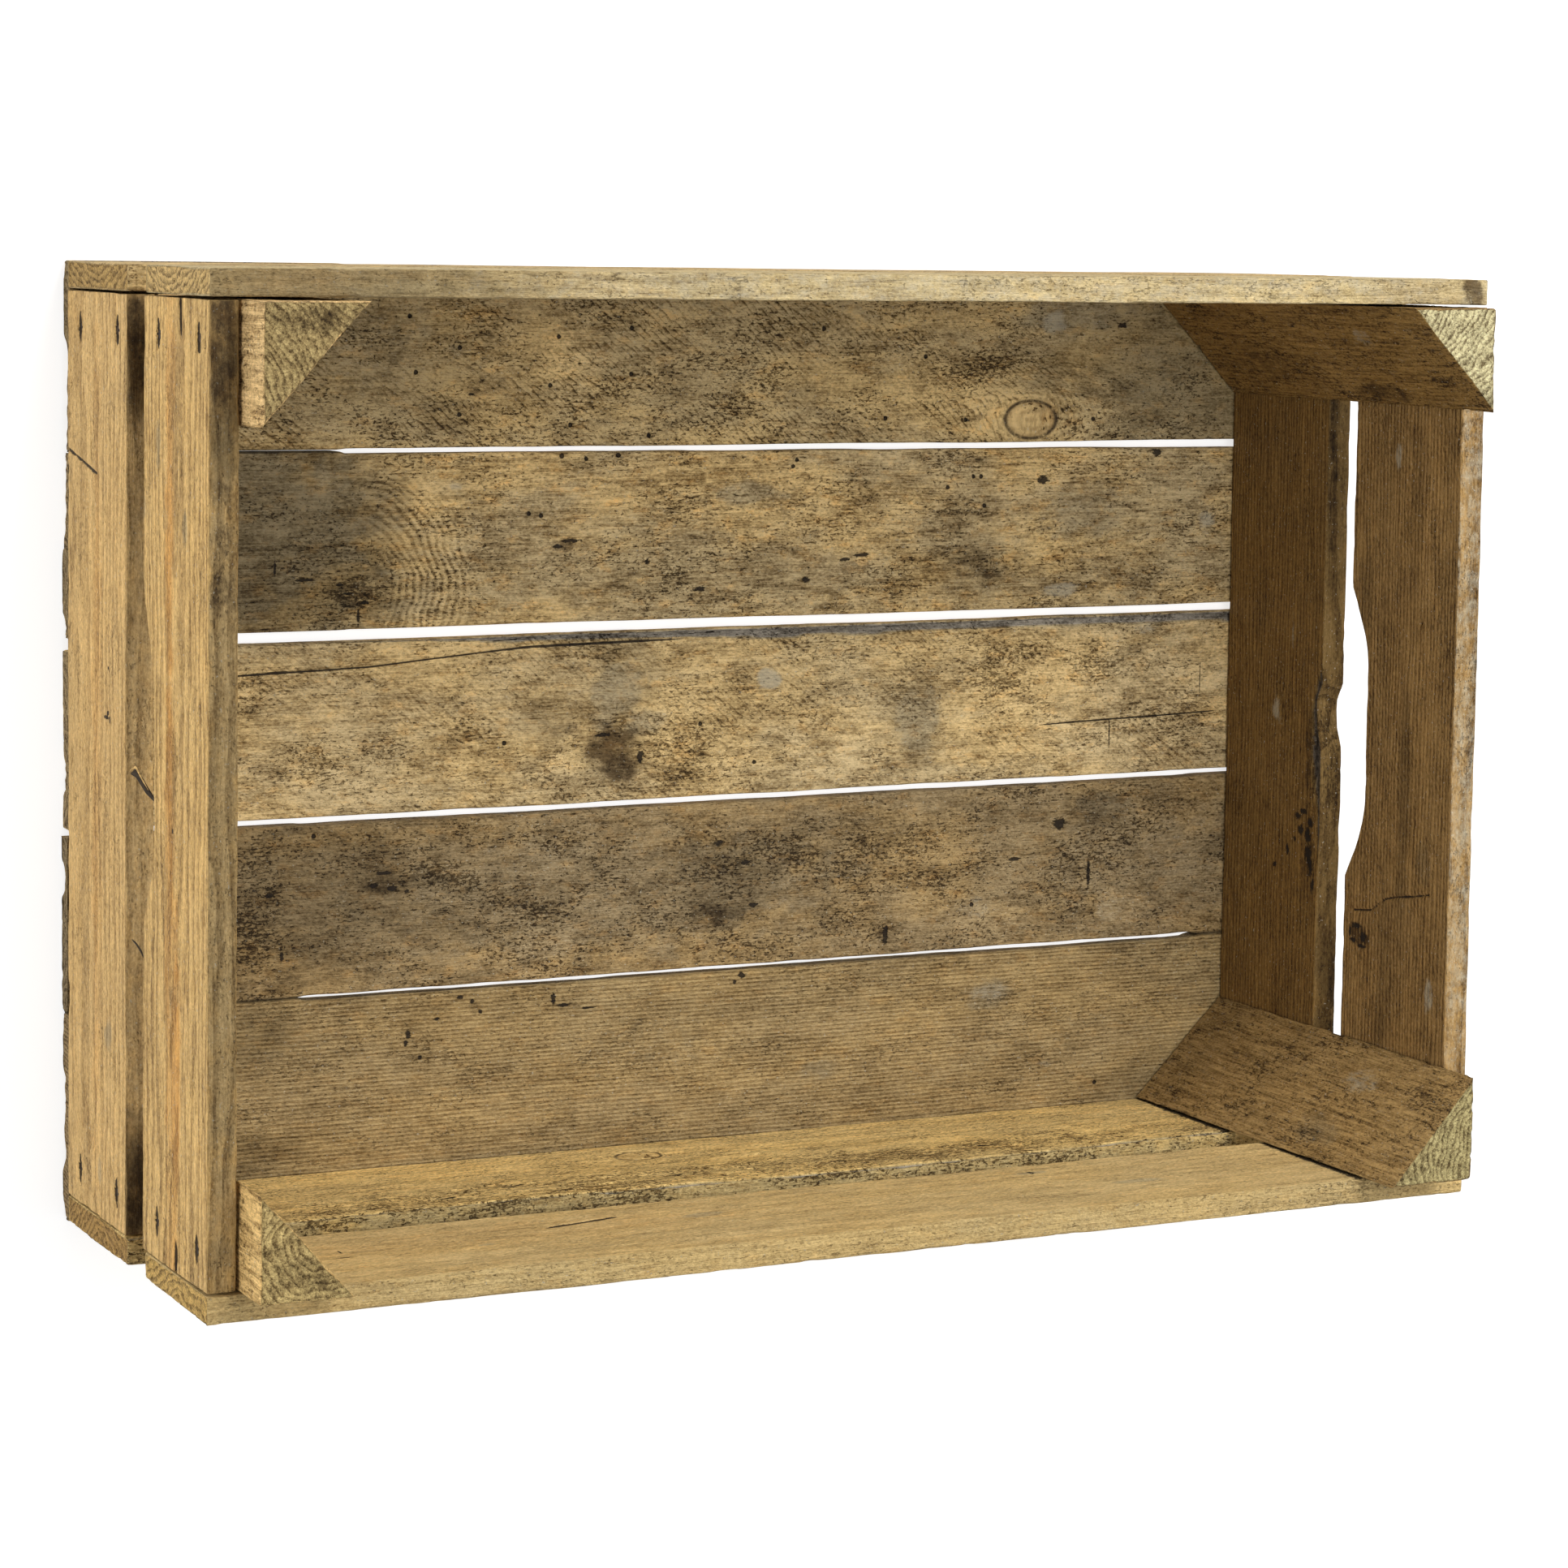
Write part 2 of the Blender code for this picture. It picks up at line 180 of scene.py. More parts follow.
# Small black spots of mould and torn fibre, and two long black lines that are painted shadow: (along, across,
# half length, half width)
SPOTS = {
    "floor_board_1": [(524, 391, 2.2, 1.1), (186, 359, 1.6, 0.6)],
    "floor_board_2": [(94, 283, 0.5, 3.6), (108.5, 277.5, 4, 0.6), (229, 290, 2.6, 0.9),
        (236, 292.5, 3.4, 0.8), (273.5, 282, 1.2, 1.4), (300, 269, 3, 0.9), (481, 317, 3, 1.6),
        (375, 281, 2.2, 0.8), (384, 283, 3.4, 0.8), (355, 272, 2, 1.4), (545, 329.5, 2.4, 2),
        (128, 271, 2, 0.7), (136, 267, 1.6, 0.9), (124, 275, 1.6, 0.6), (133, 261, 0.6, 3)],
    "floor_board_3": [(271, 192, 1.4, 3), (252, 203, 3, 0.8), (572, 217, 0.3, 6), (521, 192, 0.3, 7)],
    "floor_board_4": [(494, 150, 3.2, 2.6), (141, 140, 1.6, 1.2), (150, 138, 2, 1.2), (146, 145, 3, 0.7),
        (157, 136, 1.2, 0.8), (400, 101, 1.2, 4), (98, 110, 0.8, 2.4), (312, 150, 2, 1), (326, 140, 2.4, 1),
        (330, 120, 2, 1.2), (511, 125, 0.8, 6), (470, 134, 3, 0.8), (92, 138, 2, 1)],
    "floor_board_5": [(158, 71, 1, 2), (157, 67, 0.8, 1.2), (164, 60, 1, 0.9), (183, 86, 1.4, 0.8),
        (189, 84, 0.8, 1.2), (193, 79, 0.8, 1), (172, 77, 1.2, 0.7), (229, 82, 1, 2.6), (234, 79, 2.4, 0.8),
        (246, 77, 3, 0.5), (324, 87, 1.6, 1.2), (321, 84, 0.8, 0.8)],
    "right_end_upper_slat": [(108, 133, 2.2, 2.4), (113, 127, 1.2, 3.6), (106, 125, 1, 2.6),
        (104, 132, 0.8, 3), (110, 122, 2.4, 0.8)],
    "right_end_lower_slat": [(126, 89, 3, 1.4), (135, 87, 4, 1.8), (141, 85, 4, 2.6), (150, 84, 3, 2.4),
        (156, 86, 2, 2.4), (152, 78, 2.2, 1.8), (158, 75, 1.6, 2.6), (147, 73, 1.2, 1.2),
        (141, 67, 2.2, 1.2), (161, 80, 1.2, 2.6), (132, 56, 1.2, 1.6)],
    "left_end_lower_slat": [(226, 70, 1.8, 0.9), (227, 65, 0.8, 2.4), (229, 67, 1, 1), (248, 68, 0.8, 0.8)],
    "left_end_upper_slat": [(191, 155, 0.9, 0.9), (318, 170, 3, 0.4)],
    # the long line at along 543.5 here, and the one at 541.5 on the lower slat, are painted shadow of the gap
    # between the front right post and the slats
    "front_side_upper_slat": [(543.5, 155, 2.2, 70), (411, 133, 1.4, 2), (72, 160, 3, 0.6),
        (74, 150, 0.6, 2)],
    "front_side_lower_slat": [(541.5, 60, 2.2, 70), (120, 70, 5, 0.6), (150, 77, 4, 0.5), (185, 66, 6, 0.5),
        (216, 72, 3, 0.7), (262, 74, 5, 0.6), (300, 68, 6, 0.5), (340, 78, 4, 0.6), (372, 66, 5, 0.5),
        (420, 74, 6, 0.6), (455, 62, 4, 0.5)],
}

# Knots: (along, across, half length, half width)
KNOTS = {
    "floor_board_1": [(474, 346, 14, 9)],
    "front_side_lower_slat": [(262, 32, 11, 8)],
    "back_side_upper_slat": [(210, 160, 11, 8), (447, 148, 8, 6)],
    "back_side_lower_slat": [(330, 50, 13, 9)],
}

# Burls, beside which the grain runs in arcs: (along, across, reach)
BURLS = {
    "floor_board_2": [(122, 270, 66)],
}

# Marks on a piece of wood, by kind and side: (first, second, half first, half second, strength).
# The two places are along and across on the seen side, which has no name here, and on the "face" of a post.
# They are along and through on the "rim", the high edge of a board, and across and through on the "top"
# of a post. "dark" and "light" change the brightness softly, and some of them are painted shade and painted
# light where noted. The other kinds have ragged outlines.
MARKS = {
    "floor_board_1": {
        "stain": [(194, 363, 13, 7, 0.5), (225, 352, 20, 6, 0.3), (444, 346, 12, 4, 0.4)],
        "pale": [(487, 392, 8, 6, 0.9)],
        "grey": [(120, 385, 70, 30, 0.6), (330, 400, 90, 14, 0.5), (500, 397, 40, 12, 0.8),
            (545, 352, 34, 36, 0.6)],
        # the dark marks at along 580, by the back right post, and at across 415, along the back side, are
        # painted shade
        "dark": [(120, 375, 80, 40, 0.2), (580, 380, 100, 60, 0.4), (320, 415, 300, 16, 0.25)],
        "light": [(235, 370, 16, 22, 0.3), (430, 355, 60, 14, 0.15), (500, 350, 30, 14, 0.12)],
        "smooth": [(560, 375, 90, 80, 1.0), (430, 400, 60, 14, 0.8)],
    },
    "floor_board_2": {
        "grey": [(70, 300, 80, 45, 1.0), (325, 313, 22, 6, 0.9), (505, 301, 24, 16, 0.8),
            (350, 262, 120, 8, 0.5), (560, 300, 40, 40, 0.4)],
        "dark": [(78, 295, 94, 75, 0.56), (446, 278, 26, 15, 0.25), (505, 301, 26, 18, 0.15)],
        "light": [(168, 290, 16, 40, 0.14)],
        "smooth": [(80, 295, 60, 60, 0.8)],
        "torn": [(131, 271, 14, 8, 0.9)],
        "stain": [(131, 270, 12, 7, 0.7), (231, 290, 8, 4, 0.6), (300, 269, 7, 3, 0.5),
            (448, 277, 19, 9, 0.55), (379, 277, 10, 5, 0.4), (355, 271, 6, 4, 0.4)],
        "pale": [(492, 264, 13, 4, 0.8), (574, 296, 5, 7, 0.9), (179, 318, 4, 3, 0.7)],
    },
    "floor_board_3": {
        "stain": [(257, 197, 15, 13, 0.9), (264, 186, 9, 9, 0.8), (232, 205, 14, 6, 0.4)],
        "dark": [(257, 195, 24, 17, 0.28), (262, 226, 20, 22, 0.22), (228, 211, 18, 12, 0.22),
            (415, 203, 16, 22, 0.14)],
        "grey": [(254, 220, 10, 22, 0.8), (262, 225, 16, 20, 0.8), (415, 203, 14, 22, 0.9),
            (400, 185, 60, 12, 0.3), (272, 207, 16, 8, 0.7)],
        "torn": [(292, 200, 20, 16, 0.9), (470, 225, 60, 14, 0.5), (130, 190, 60, 18, 0.4)],
        "light": [(285, 200, 16, 14, 0.15), (370, 195, 30, 16, 0.15), (520, 212, 90, 50, 0.22)],
        "pale": [(337, 226, 6, 5, 1.0), (540, 244, 8, 4, 0.5)],
    },
    "floor_board_4": {
        "stain": [(148, 140, 12, 7, 0.6), (312, 117, 15, 6, 0.6), (325, 136, 12, 7, 0.5),
            (400, 101, 7, 5, 0.4), (97, 100, 14, 6, 0.4)],
        "torn": [(172, 143, 20, 7, 0.8), (85, 140, 18, 30, 0.8), (385, 138, 80, 16, 0.5),
            (250, 125, 90, 30, 0.3), (520, 142, 30, 12, 0.4)],
        "dark": [(90, 140, 100, 55, 0.34), (318, 130, 28, 24, 0.25), (517, 157, 20, 10, 0.2),
            (365, 148, 60, 12, 0.15)],
        "grey": [(250, 130, 150, 35, 0.8), (530, 130, 70, 35, 0.7), (517, 157, 18, 9, 0.9)],
        "light": [(222, 102, 22, 14, 0.28), (455, 104, 26, 9, 0.25), (530, 108, 14, 9, 0.25)],
        "pale": [(450, 112, 9, 6, 0.35), (522, 106, 8, 7, 0.35)],
    },
    "floor_board_5": {
        "stain": [(190, 82, 5, 4, 0.5), (236, 79, 12, 3, 0.5), (96, 76, 9, 7, 0.35), (78, 24, 8, 9, 0.3),
            (535, 86, 16, 5, 0.45)],
        "pale": [(458, 70, 12, 5, 0.5), (489, 33, 5, 2, 0.4)],
        "grey": [(458, 69, 16, 8, 0.7), (110, 60, 60, 30, 0.4), (365, 39, 14, 6, 0.7),
            (270, 60, 50, 20, 0.4)],
        # the dark mark at along 560 by the front edge is painted shade along the front side slat
        "dark": [(82, 76, 26, 18, 0.3), (75, 22, 36, 14, 0.32), (560, 20, 50, 18, 0.15)],
        "light": [(560, 55, 60, 26, 0.08), (300, 45, 200, 22, 0.08)],
    },
    "left_end_upper_slat": {
        "warm": [(95, 157, 60, 9, 1.0), (190, 151, 110, 6, 0.9), (330, 151, 100, 6, 0.8),
            (40, 155, 50, 7, 0.6)],
        "dark": [(190, 148, 150, 2, 0.12), (345, 135, 11, 3.5, 0.12)],
        "grey": [(120, 153, 12, 3, 0.5), (313, 170, 9, 4, 1.0), (345, 135, 11, 3.5, 1.0),
            (319, 117, 7, 3, 0.7)],
        "stain": [(314, 170, 6, 2.5, 0.45)],
        "dark rim": [(208, 6, 300, 20, 0.38), (385, 6, 80, 20, 0.62)],
        "stain rim": [(385, 6, 36, 9, 0.7), (288, 6, 16, 7, 0.5), (325, 6, 20, 5, 0.4)],
        "grey rim": [(200, 6, 240, 9, 0.8)],
    },
    "left_end_lower_slat": {
        "grey": [(92, 68, 7, 6, 1.0), (32, 56, 7, 3, 0.9)],
        "dark": [(92, 69, 6, 6, 0.1)],
        "stain": [(326, 14, 7, 3, 0.4)],
        "warm": [(200, 52, 220, 7, 0.4)],
        # on the rim, the dark and stain marks at 30 to 35 and 382 to 385 are painted shade where the corner
        # posts shadow the gap between the end slats
        "dark rim": [(208, 6, 300, 20, 0.05), (35, 6, 32, 20, 0.75), (382, 6, 34, 20, 0.75)],
        "stain rim": [(30, 6, 26, 9, 0.7), (385, 6, 26, 9, 0.7)],
        "grey rim": [(200, 6, 240, 9, 0.6)],
    },
    "right_end_upper_slat": {
        "stain": [(109, 129, 6, 8, 0.8), (252, 142, 3, 3, 0.4)],
        "pale": [(90, 187, 9, 4, 0.6), (336, 152, 8, 4, 0.7)],
        "grey": [(150, 180, 12, 8, 0.6)],
        "dark": [(170, 163, 70, 5, 0.3), (265, 128, 30, 6, 0.3), (90, 150, 60, 8, 0.2)],
        # the light rim marks take the base colour's painted shade off the rim, which faces the lamps
        "light rim": [(208, 6, 300, 20, 0.3)],
        "pale rim": [(208, 6, 260, 20, 0.4)],
        "grey rim": [(200, 6, 200, 9, 0.4)],
        "light": [(300, 180, 90, 10, 0.12)],
    },
    "right_end_lower_slat": {
        "pale": [(208, 55, 7, 4, 0.7), (246, 67, 14, 1, 0.5)],
        "stain": [(142, 84, 20, 8, 0.6), (195, 83, 26, 3, 0.7)],
        "torn": [(175, 88, 45, 6, 1.0)],
        "grey": [(195, 90, 30, 5, 1.0)],
        "grey rim": [(208, 6, 260, 20, 1.0)],
        # the light rim marks take the base colour's painted shade off the rim, which faces the lamps
        "light rim": [(200, 6, 150, 20, 0.45)],
        "stain rim": [(12, 8, 26, 5, 0.8), (70, 11, 60, 2.5, 0.6), (350, 4, 66, 3, 0.6)],
        "torn rim": [(190, 6, 40, 9, 1.0)],
    },
    "front_side_lower_slat": {
        "torn": [(300, 78, 300, 18, 0.9)],
        "grey": [(180, 72, 60, 12, 0.4)],
        "dark": [(575, 50, 30, 60, 0.25), (40, 50, 40, 60, 0.2)],
        "dark rim": [(300, 6, 400, 20, 0.2), (120, 6, 130, 20, 0.35)],
        "grey rim": [(300, 6, 330, 20, 0.7)],
        "stain rim": [(300, 2, 330, 3, 0.3)],
        "torn rim": [(300, 6, 330, 20, 0.5)],
    },
    "front_side_upper_slat": {
        "grey": [(135, 162, 5, 2, 1.0), (240, 148, 11, 4, 1.0), (448, 165, 15, 4, 1.0),
            (411, 133, 9, 3, 1.0), (110, 187, 10, 2, 0.7)],
        "stain": [(186, 141, 18, 1.5, 0.4)],
        "dark rim": [(300, 6, 400, 20, 0.22), (40, 6, 60, 20, 0.25)],
        "warm": [(150, 150, 120, 20, 0.25)],
    },
    "back_side_upper_slat": {
        "dark rim": [(30, 6, 120, 20, 0.52)],
        "warm rim": [(30, 6, 160, 20, 0.35)],
        "light rim": [(500, 6, 200, 20, 0.1)],
        "pale rim": [(360, 6, 300, 20, 0.4)],
        "grey rim": [(60, 6, 60, 9, 0.3)],
        "stain rim": [(592, 6, 6, 9, 0.9), (170, 9, 30, 1.5, 0.4), (228, 5, 8, 1.2, 0.6)],
    },
    "corner_post_front_left": {
        "dark top": [(30, 10, 20, 14, 0.15)],
        "stain top": [(14, 14, 16, 16, 0.4)],
    },
    "corner_post_back_left": {
        "stain top": [(22, 7, 24, 6, 0.5)],
        "torn top": [(22, 7, 24, 7, 0.6)],
        "warm top": [(18, 10, 20, 9, 0.7)],
        "pale top": [(16, 30, 4, 1.5, 0.5)],
    },
    "corner_post_front_right": {
        "pale face": [(155, 14, 14, 5, 0.45)],
        "grey face": [(150, 34, 24, 7, 0.7)],
        "dark face": [(20, 20, 30, 40, 0.2)],
        "stain top": [(36, 6, 7, 5, 0.5)],
    },
    "corner_post_back_right": {
        "stain face": [(145, 6, 26, 5, 0.7), (60, 14, 44, 8, 0.4)],
        "pale face": [(165, 30, 8, 4, 0.4)],
        "stain top": [(6, 40, 8, 6, 0.5)],
    },
}

# ---------------------------------------------------------------- posts

# name: (leg along the crate's length, leg across its width, how much longer the first leg is at the foot)
POSTS = {
    "corner_post_front_left": (41.0, 46.0, 0.0),
    "corner_post_front_right": (44.0, 48.0, 4.0),
    "corner_post_back_left": (45.0, 50.0, 0.0),
    "corner_post_back_right": (45.0, 47.0, 0.0),
}

# ---------------------------------------------------------------- nails

NAIL_SUNK = 1.2
NAIL_SIDES = 20
# The nail from the middle of its head to its point: (radius, height)
NAIL_PROFILE = [
    (0.5, -0.12), (1.4, -0.05), (2.0, -0.1), (2.32, -0.35), (2.3, -0.7), (1.9, -0.9), (1.2, -1.0),
    (1.08, -1.6), (1.08, -28.6), (0.8, -30.0), (0.3, -31.6),
]
# How uneven the nails are, as a share of their radius
NAIL_WOBBLE = 0.16
# Half length and half width of the crushed hollow around a sunk nail head
NAIL_HOLLOW = (7.2, 2.2)

# ---------------------------------------------------------------- splinters

# Lifted fibres and splinters: (name, points in mm, half widths in mm, board that they belong to, how dark)
SPLINTERS = [
    ("splinter_left_gap",
     [(1.6, 200.0, 128.0), (1.0, 203.5, 118.0), (0.9, 208.5, 106.0), (1.6, 207.0, 96.0)],
     [0.9, 2.0, 2.2, 0.4], "left_end_upper_slat", 1.0),
    ("splinter_left_gap_edge",
     [(0.9, 203.0, 122.0), (0.6, 207.0, 114.0), (0.5, 211.0, 106.0), (0.8, 208.5, 97.0)],
     [0.2, 0.6, 0.8, 0.2], "left_end_upper_slat", 0.0),
    ("splinter_left_gap_small",
     [(1.5, 132.0, 115.5), (1.2, 135.5, 111.0), (1.2, 137.5, 104.0), (1.6, 138.0, 97.5)],
     [0.3, 0.8, 0.6, 0.2], "left_end_upper_slat", 1.0),
    ("splinter_left_rim",
     [(1.0, 88.0, 192.0), (0.6, 82.0, 194.5), (0.6, 74.0, 195.0), (1.2, 66.0, 193.5)],
     [0.5, 1.3, 0.9, 0.2], "left_end_upper_slat", 0.2),
]

# ---------------------------------------------------------------- colours (linear red, green, blue)

# What each piece of wood looks like: its colour on the long sides and on the ends, the middle of the tree
# seen from its cross-section (across, through), the width of its growth rings in mm, and how strongly each
# pattern shows. "wander" is how crooked the rings are, and "fibres" how much the grain's streaks stand out.
# The saw marks fall by saw_angle degrees towards the far end of the board.
WOOD = {
    "floor_board_1": dict(
        base=(0.400, 0.298, 0.149), end=(0.35, 0.25, 0.12), pith=(352, -60), ring=3.6, rings=0.15, wander=1.0,
        saw=0.30, saw_angle=38, tears=0.9, specks=0.9, fibres=0.7, blotch=1.0, weather=0.6),
    "floor_board_2": dict(
        base=(0.478, 0.352, 0.174), end=(0.35, 0.25, 0.12), pith=(265, -25), ring=3.0, rings=0.3, wander=0.8,
        saw=0.05, saw_angle=38, tears=0.15, specks=0.75, fibres=0.9, blotch=0.95, weather=0.8),
    "floor_board_3": dict(
        base=(0.480, 0.360, 0.186), end=(0.38, 0.27, 0.13), pith=(190, -70), ring=3.2, rings=0.2, wander=0.8,
        saw=0.05, saw_angle=36, tears=0.5, specks=0.6, fibres=0.8, blotch=1.0, weather=0.6),
    "floor_board_4": dict(
        base=(0.284, 0.204, 0.102), end=(0.33, 0.24, 0.12), pith=(130, -90), ring=3.2, rings=0.2, wander=1.0,
        saw=0.05, saw_angle=36, tears=0.25, specks=0.8, fibres=0.8, blotch=0.75, weather=0.7),
    "floor_board_5": dict(
        base=(0.318, 0.234, 0.117), end=(0.38, 0.26, 0.12), pith=(-300, -60), ring=1.9, rings=0.8, wander=0.1,
        saw=0.05, saw_angle=38, tears=0.05, specks=0.35, fibres=0.5, blotch=0.5, weather=0.4),
    "left_end_lower_slat": dict(
        base=(0.515, 0.346, 0.150), end=(0.50, 0.34, 0.15), pith=(20, 60), ring=3.8, rings=0.55, wander=0.5,
        saw=0.1, saw_angle=30, tears=0.0, specks=0.2, fibres=0.42, blotch=0.3, weather=0.2),
    "left_end_upper_slat": dict(
        base=(0.500, 0.332, 0.134), end=(0.50, 0.34, 0.15), pith=(158, 34), ring=3.4, rings=0.7, wander=0.5,
        saw=0.1, saw_angle=30, tears=0.0, specks=0.2, fibres=0.5, blotch=0.42, weather=0.2),
    # the dark base colours of the two right end slats are partly weathered brown wood and partly painted shade
    # of the crate's inside
    "right_end_lower_slat": dict(
        base=(0.182, 0.106, 0.032), end=(0.45, 0.32, 0.15), pith=(-150, 560), ring=2.6, rings=0.9, wander=0.35,
        saw=0.1, saw_angle=30, tears=0.05, specks=0.35, fibres=0.7, blotch=0.4, weather=0.2),
    "right_end_upper_slat": dict(
        base=(0.246, 0.151, 0.057), end=(0.45, 0.32, 0.15), pith=(330, 560), ring=2.6, rings=0.9, wander=0.3,
        saw=0.4, saw_angle=30, tears=0.2, specks=0.3, fibres=0.7, blotch=0.55, weather=0.2),
    "front_side_lower_slat": dict(
        base=(0.683, 0.498, 0.213), end=(0.51, 0.305, 0.092), pith=(60, -30), ring=3.4, rings=0.3, wander=0.6,
        saw=0.1, saw_angle=40, tears=0.3, specks=0.8, fibres=0.6, blotch=0.35, weather=0.4),
    "front_side_upper_slat": dict(
        base=(0.624, 0.464, 0.222), end=(0.68, 0.44, 0.135), pith=(170, -60), ring=3.6, rings=0.25, wander=0.6,
        saw=0.1, saw_angle=40, tears=0.05, specks=0.2, fibres=0.35, blotch=0.3, weather=0.3),
    "back_side_lower_slat": dict(
        base=(0.480, 0.350, 0.170), end=(0.535, 0.345, 0.117), pith=(50, 470), ring=3.6, rings=0.3, wander=0.6,
        saw=0.2, saw_angle=40, tears=0.3, specks=0.5, fibres=0.8, blotch=0.6, weather=0.5),
    "back_side_upper_slat": dict(
        base=(0.475, 0.383, 0.216), end=(0.70, 0.48, 0.19), pith=(150, 450), ring=3.6, rings=0.25, wander=0.6,
        saw=0.1, saw_angle=40, tears=0.05, specks=0.25, fibres=0.5, blotch=0.45, weather=0.3),
    "corner_post_front_left": dict(
        base=(0.636, 0.435, 0.183), end=(0.61, 0.45, 0.185), pith=(24, 24), ring=3.0, rings=0.5, wander=0.5,
        saw=0.2, saw_angle=10, tears=0.2, specks=0.5, fibres=0.9, blotch=0.35, weather=0.2),
    "corner_post_front_right": dict(
        base=(0.300, 0.197, 0.080), end=(0.607, 0.501, 0.231), pith=(-30, 10), ring=3.0, rings=0.3, wander=0.6,
        saw=0.3, saw_angle=5, tears=0.2, specks=0.75, fibres=1.1, blotch=0.3, weather=0.15),
    "corner_post_back_left": dict(
        base=(0.585, 0.407, 0.196), end=(0.47, 0.344, 0.146), pith=(-40, 60), ring=3.0, rings=0.4, wander=0.6,
        saw=0.2, saw_angle=10, tears=0.2, specks=0.5, fibres=0.9, blotch=0.4, weather=0.2),
    # the dark base colour of the long faces is partly painted shade, as these faces look away from the lamps
    "corner_post_back_right": dict(
        base=(0.235, 0.143, 0.046), end=(0.836, 0.737, 0.418), pith=(60, -20), ring=3.0, rings=0.4, wander=0.6,
        saw=0.3, saw_angle=15, tears=0.2, specks=0.75, fibres=1.1, blotch=0.35, weather=0.1),
}


# ================================================================ random patterns in numpy


def lattice_value(i, j, k, seed):
    """A fixed random number from 0 to 1 for each whole-numbered place."""
    number = (i * 73856093) ^ (j * 19349663) ^ (k * 83492791) ^ (seed * 1013904223)
    number = number & 0xFFFFFFFF
    number = ((number ^ (number >> 13)) * 1274126177) & 0xFFFFFFFF
    number = number ^ (number >> 16)
    return number / 4294967295.0


def smooth_noise(places, seed):
    """Soft random values from 0 to 1 that change over about one unit of the places, which are (N, 3)."""
    whole = np.floor(places).astype(np.int64)
    part = places - whole
    part = part * part * (3 - 2 * part)
    total = np.zeros(len(places))
    for di in (0, 1):
        for dj in (0, 1):
            for dk in (0, 1):
                near = np.abs(1 - np.array([di, dj, dk]) - part)
                weight = near[:, 0] * near[:, 1] * near[:, 2]
                total += weight * lattice_value(whole[:, 0] + di, whole[:, 1] + dj, whole[:, 2] + dk, seed)
    return total


def rough_noise(places, size, seed, layers=3):
    """Layers of finer and finer noise. Size is the length of the largest lumps in each direction, in mm."""
    scaled = places / np.array(size)
    total = np.zeros(len(places))
    weight_sum = 0.0
    for layer in range(layers):
        weight = 0.5 ** layer
        total += weight * smooth_noise(scaled * 2 ** layer + 17.3 * layer, seed + layer)
        weight_sum += weight
    return total / weight_sum


def step_up(values, low, high):
    """0 below low, 1 above high and a soft step between them."""
    part = np.clip((values - low) / (high - low), 0, 1)
    return part * part * (3 - 2 * part)


# ================================================================ box lattices


def grid_lines(start, end, cell, fine_places=()):
    """Places of the mesh lines along one direction: close together at both ends and near the fine places."""
    close = [start, end, *fine_places]
    lines = [start]
    while lines[-1] < end:
        distance = min(abs(lines[-1] - place) for place in close)
        lines.append(lines[-1] + min(cell, FINEST_CELL + 0.3 * max(0.0, distance - 1.2)))
    lines = np.array(lines)
    return start + (lines - start) * (end - start) / (lines[-1] - start)


def box_surface(lines):
    """The surface of a box lattice: points (N, 3) and four-sided faces that turn outward."""
    counts = [len(line) for line in lines]
    sheets = []
    for axis in range(3):
        first, second = [other for other in range(3) if other != axis]
        for side in (0, counts[axis] - 1):
            index = [None, None, None]
            index[first], index[second] = np.meshgrid(
                np.arange(counts[first]), np.arange(counts[second]), indexing="ij")
            index[axis] = np.full_like(index[first], side)
            code = (index[0] * counts[1] + index[1]) * counts[2] + index[2]
            corners = [code[:-1, :-1], code[1:, :-1], code[1:, 1:], code[:-1, 1:]]
            quads = np.stack(corners, axis=-1).reshape(-1, 4)
            if (side == 0) != (axis == 1):
                quads = quads[:, ::-1]
            sheets.append(quads)
    used, faces = np.unique(np.concatenate(sheets), return_inverse=True)
    faces = faces.reshape(-1, 4)
    i = used // (counts[1] * counts[2])
    j = (used // counts[2]) % counts[1]
    k = used % counts[2]
    points = np.stack([lines[0][i], lines[1][j], lines[2][k]], axis=1)
    return points, faces


def soften_edges(depths, normals, radius):
    """Rounds the corners of a solid. depths say how far each point is below each face.

    Returns the push for each point, and the direction that points out of the surface there.
    """
    shares = [np.clip(1 - depth / radius, 0, 1) for depth in depths]
    length = np.sqrt(sum(share ** 2 for share in shares))
    push = np.zeros((len(length), 3))
    outward = np.zeros((len(length), 3))
    for share, normal in zip(shares, normals):
        push += ((share / length - share) * radius)[:, None] * np.array(normal)
        outward += share[:, None] * np.array(normal)
    outward /= np.linalg.norm(outward, axis=1)[:, None]
    return push, outward


def mesh_volume(points, faces):
    """Six times the signed volume, enough to tell whether the faces turn outward."""
    a, b, c, d = (points[faces[:, corner]] for corner in range(4))
    return np.sum(np.einsum("ij,ij->i", a, np.cross(b, c) + np.cross(c, d)))


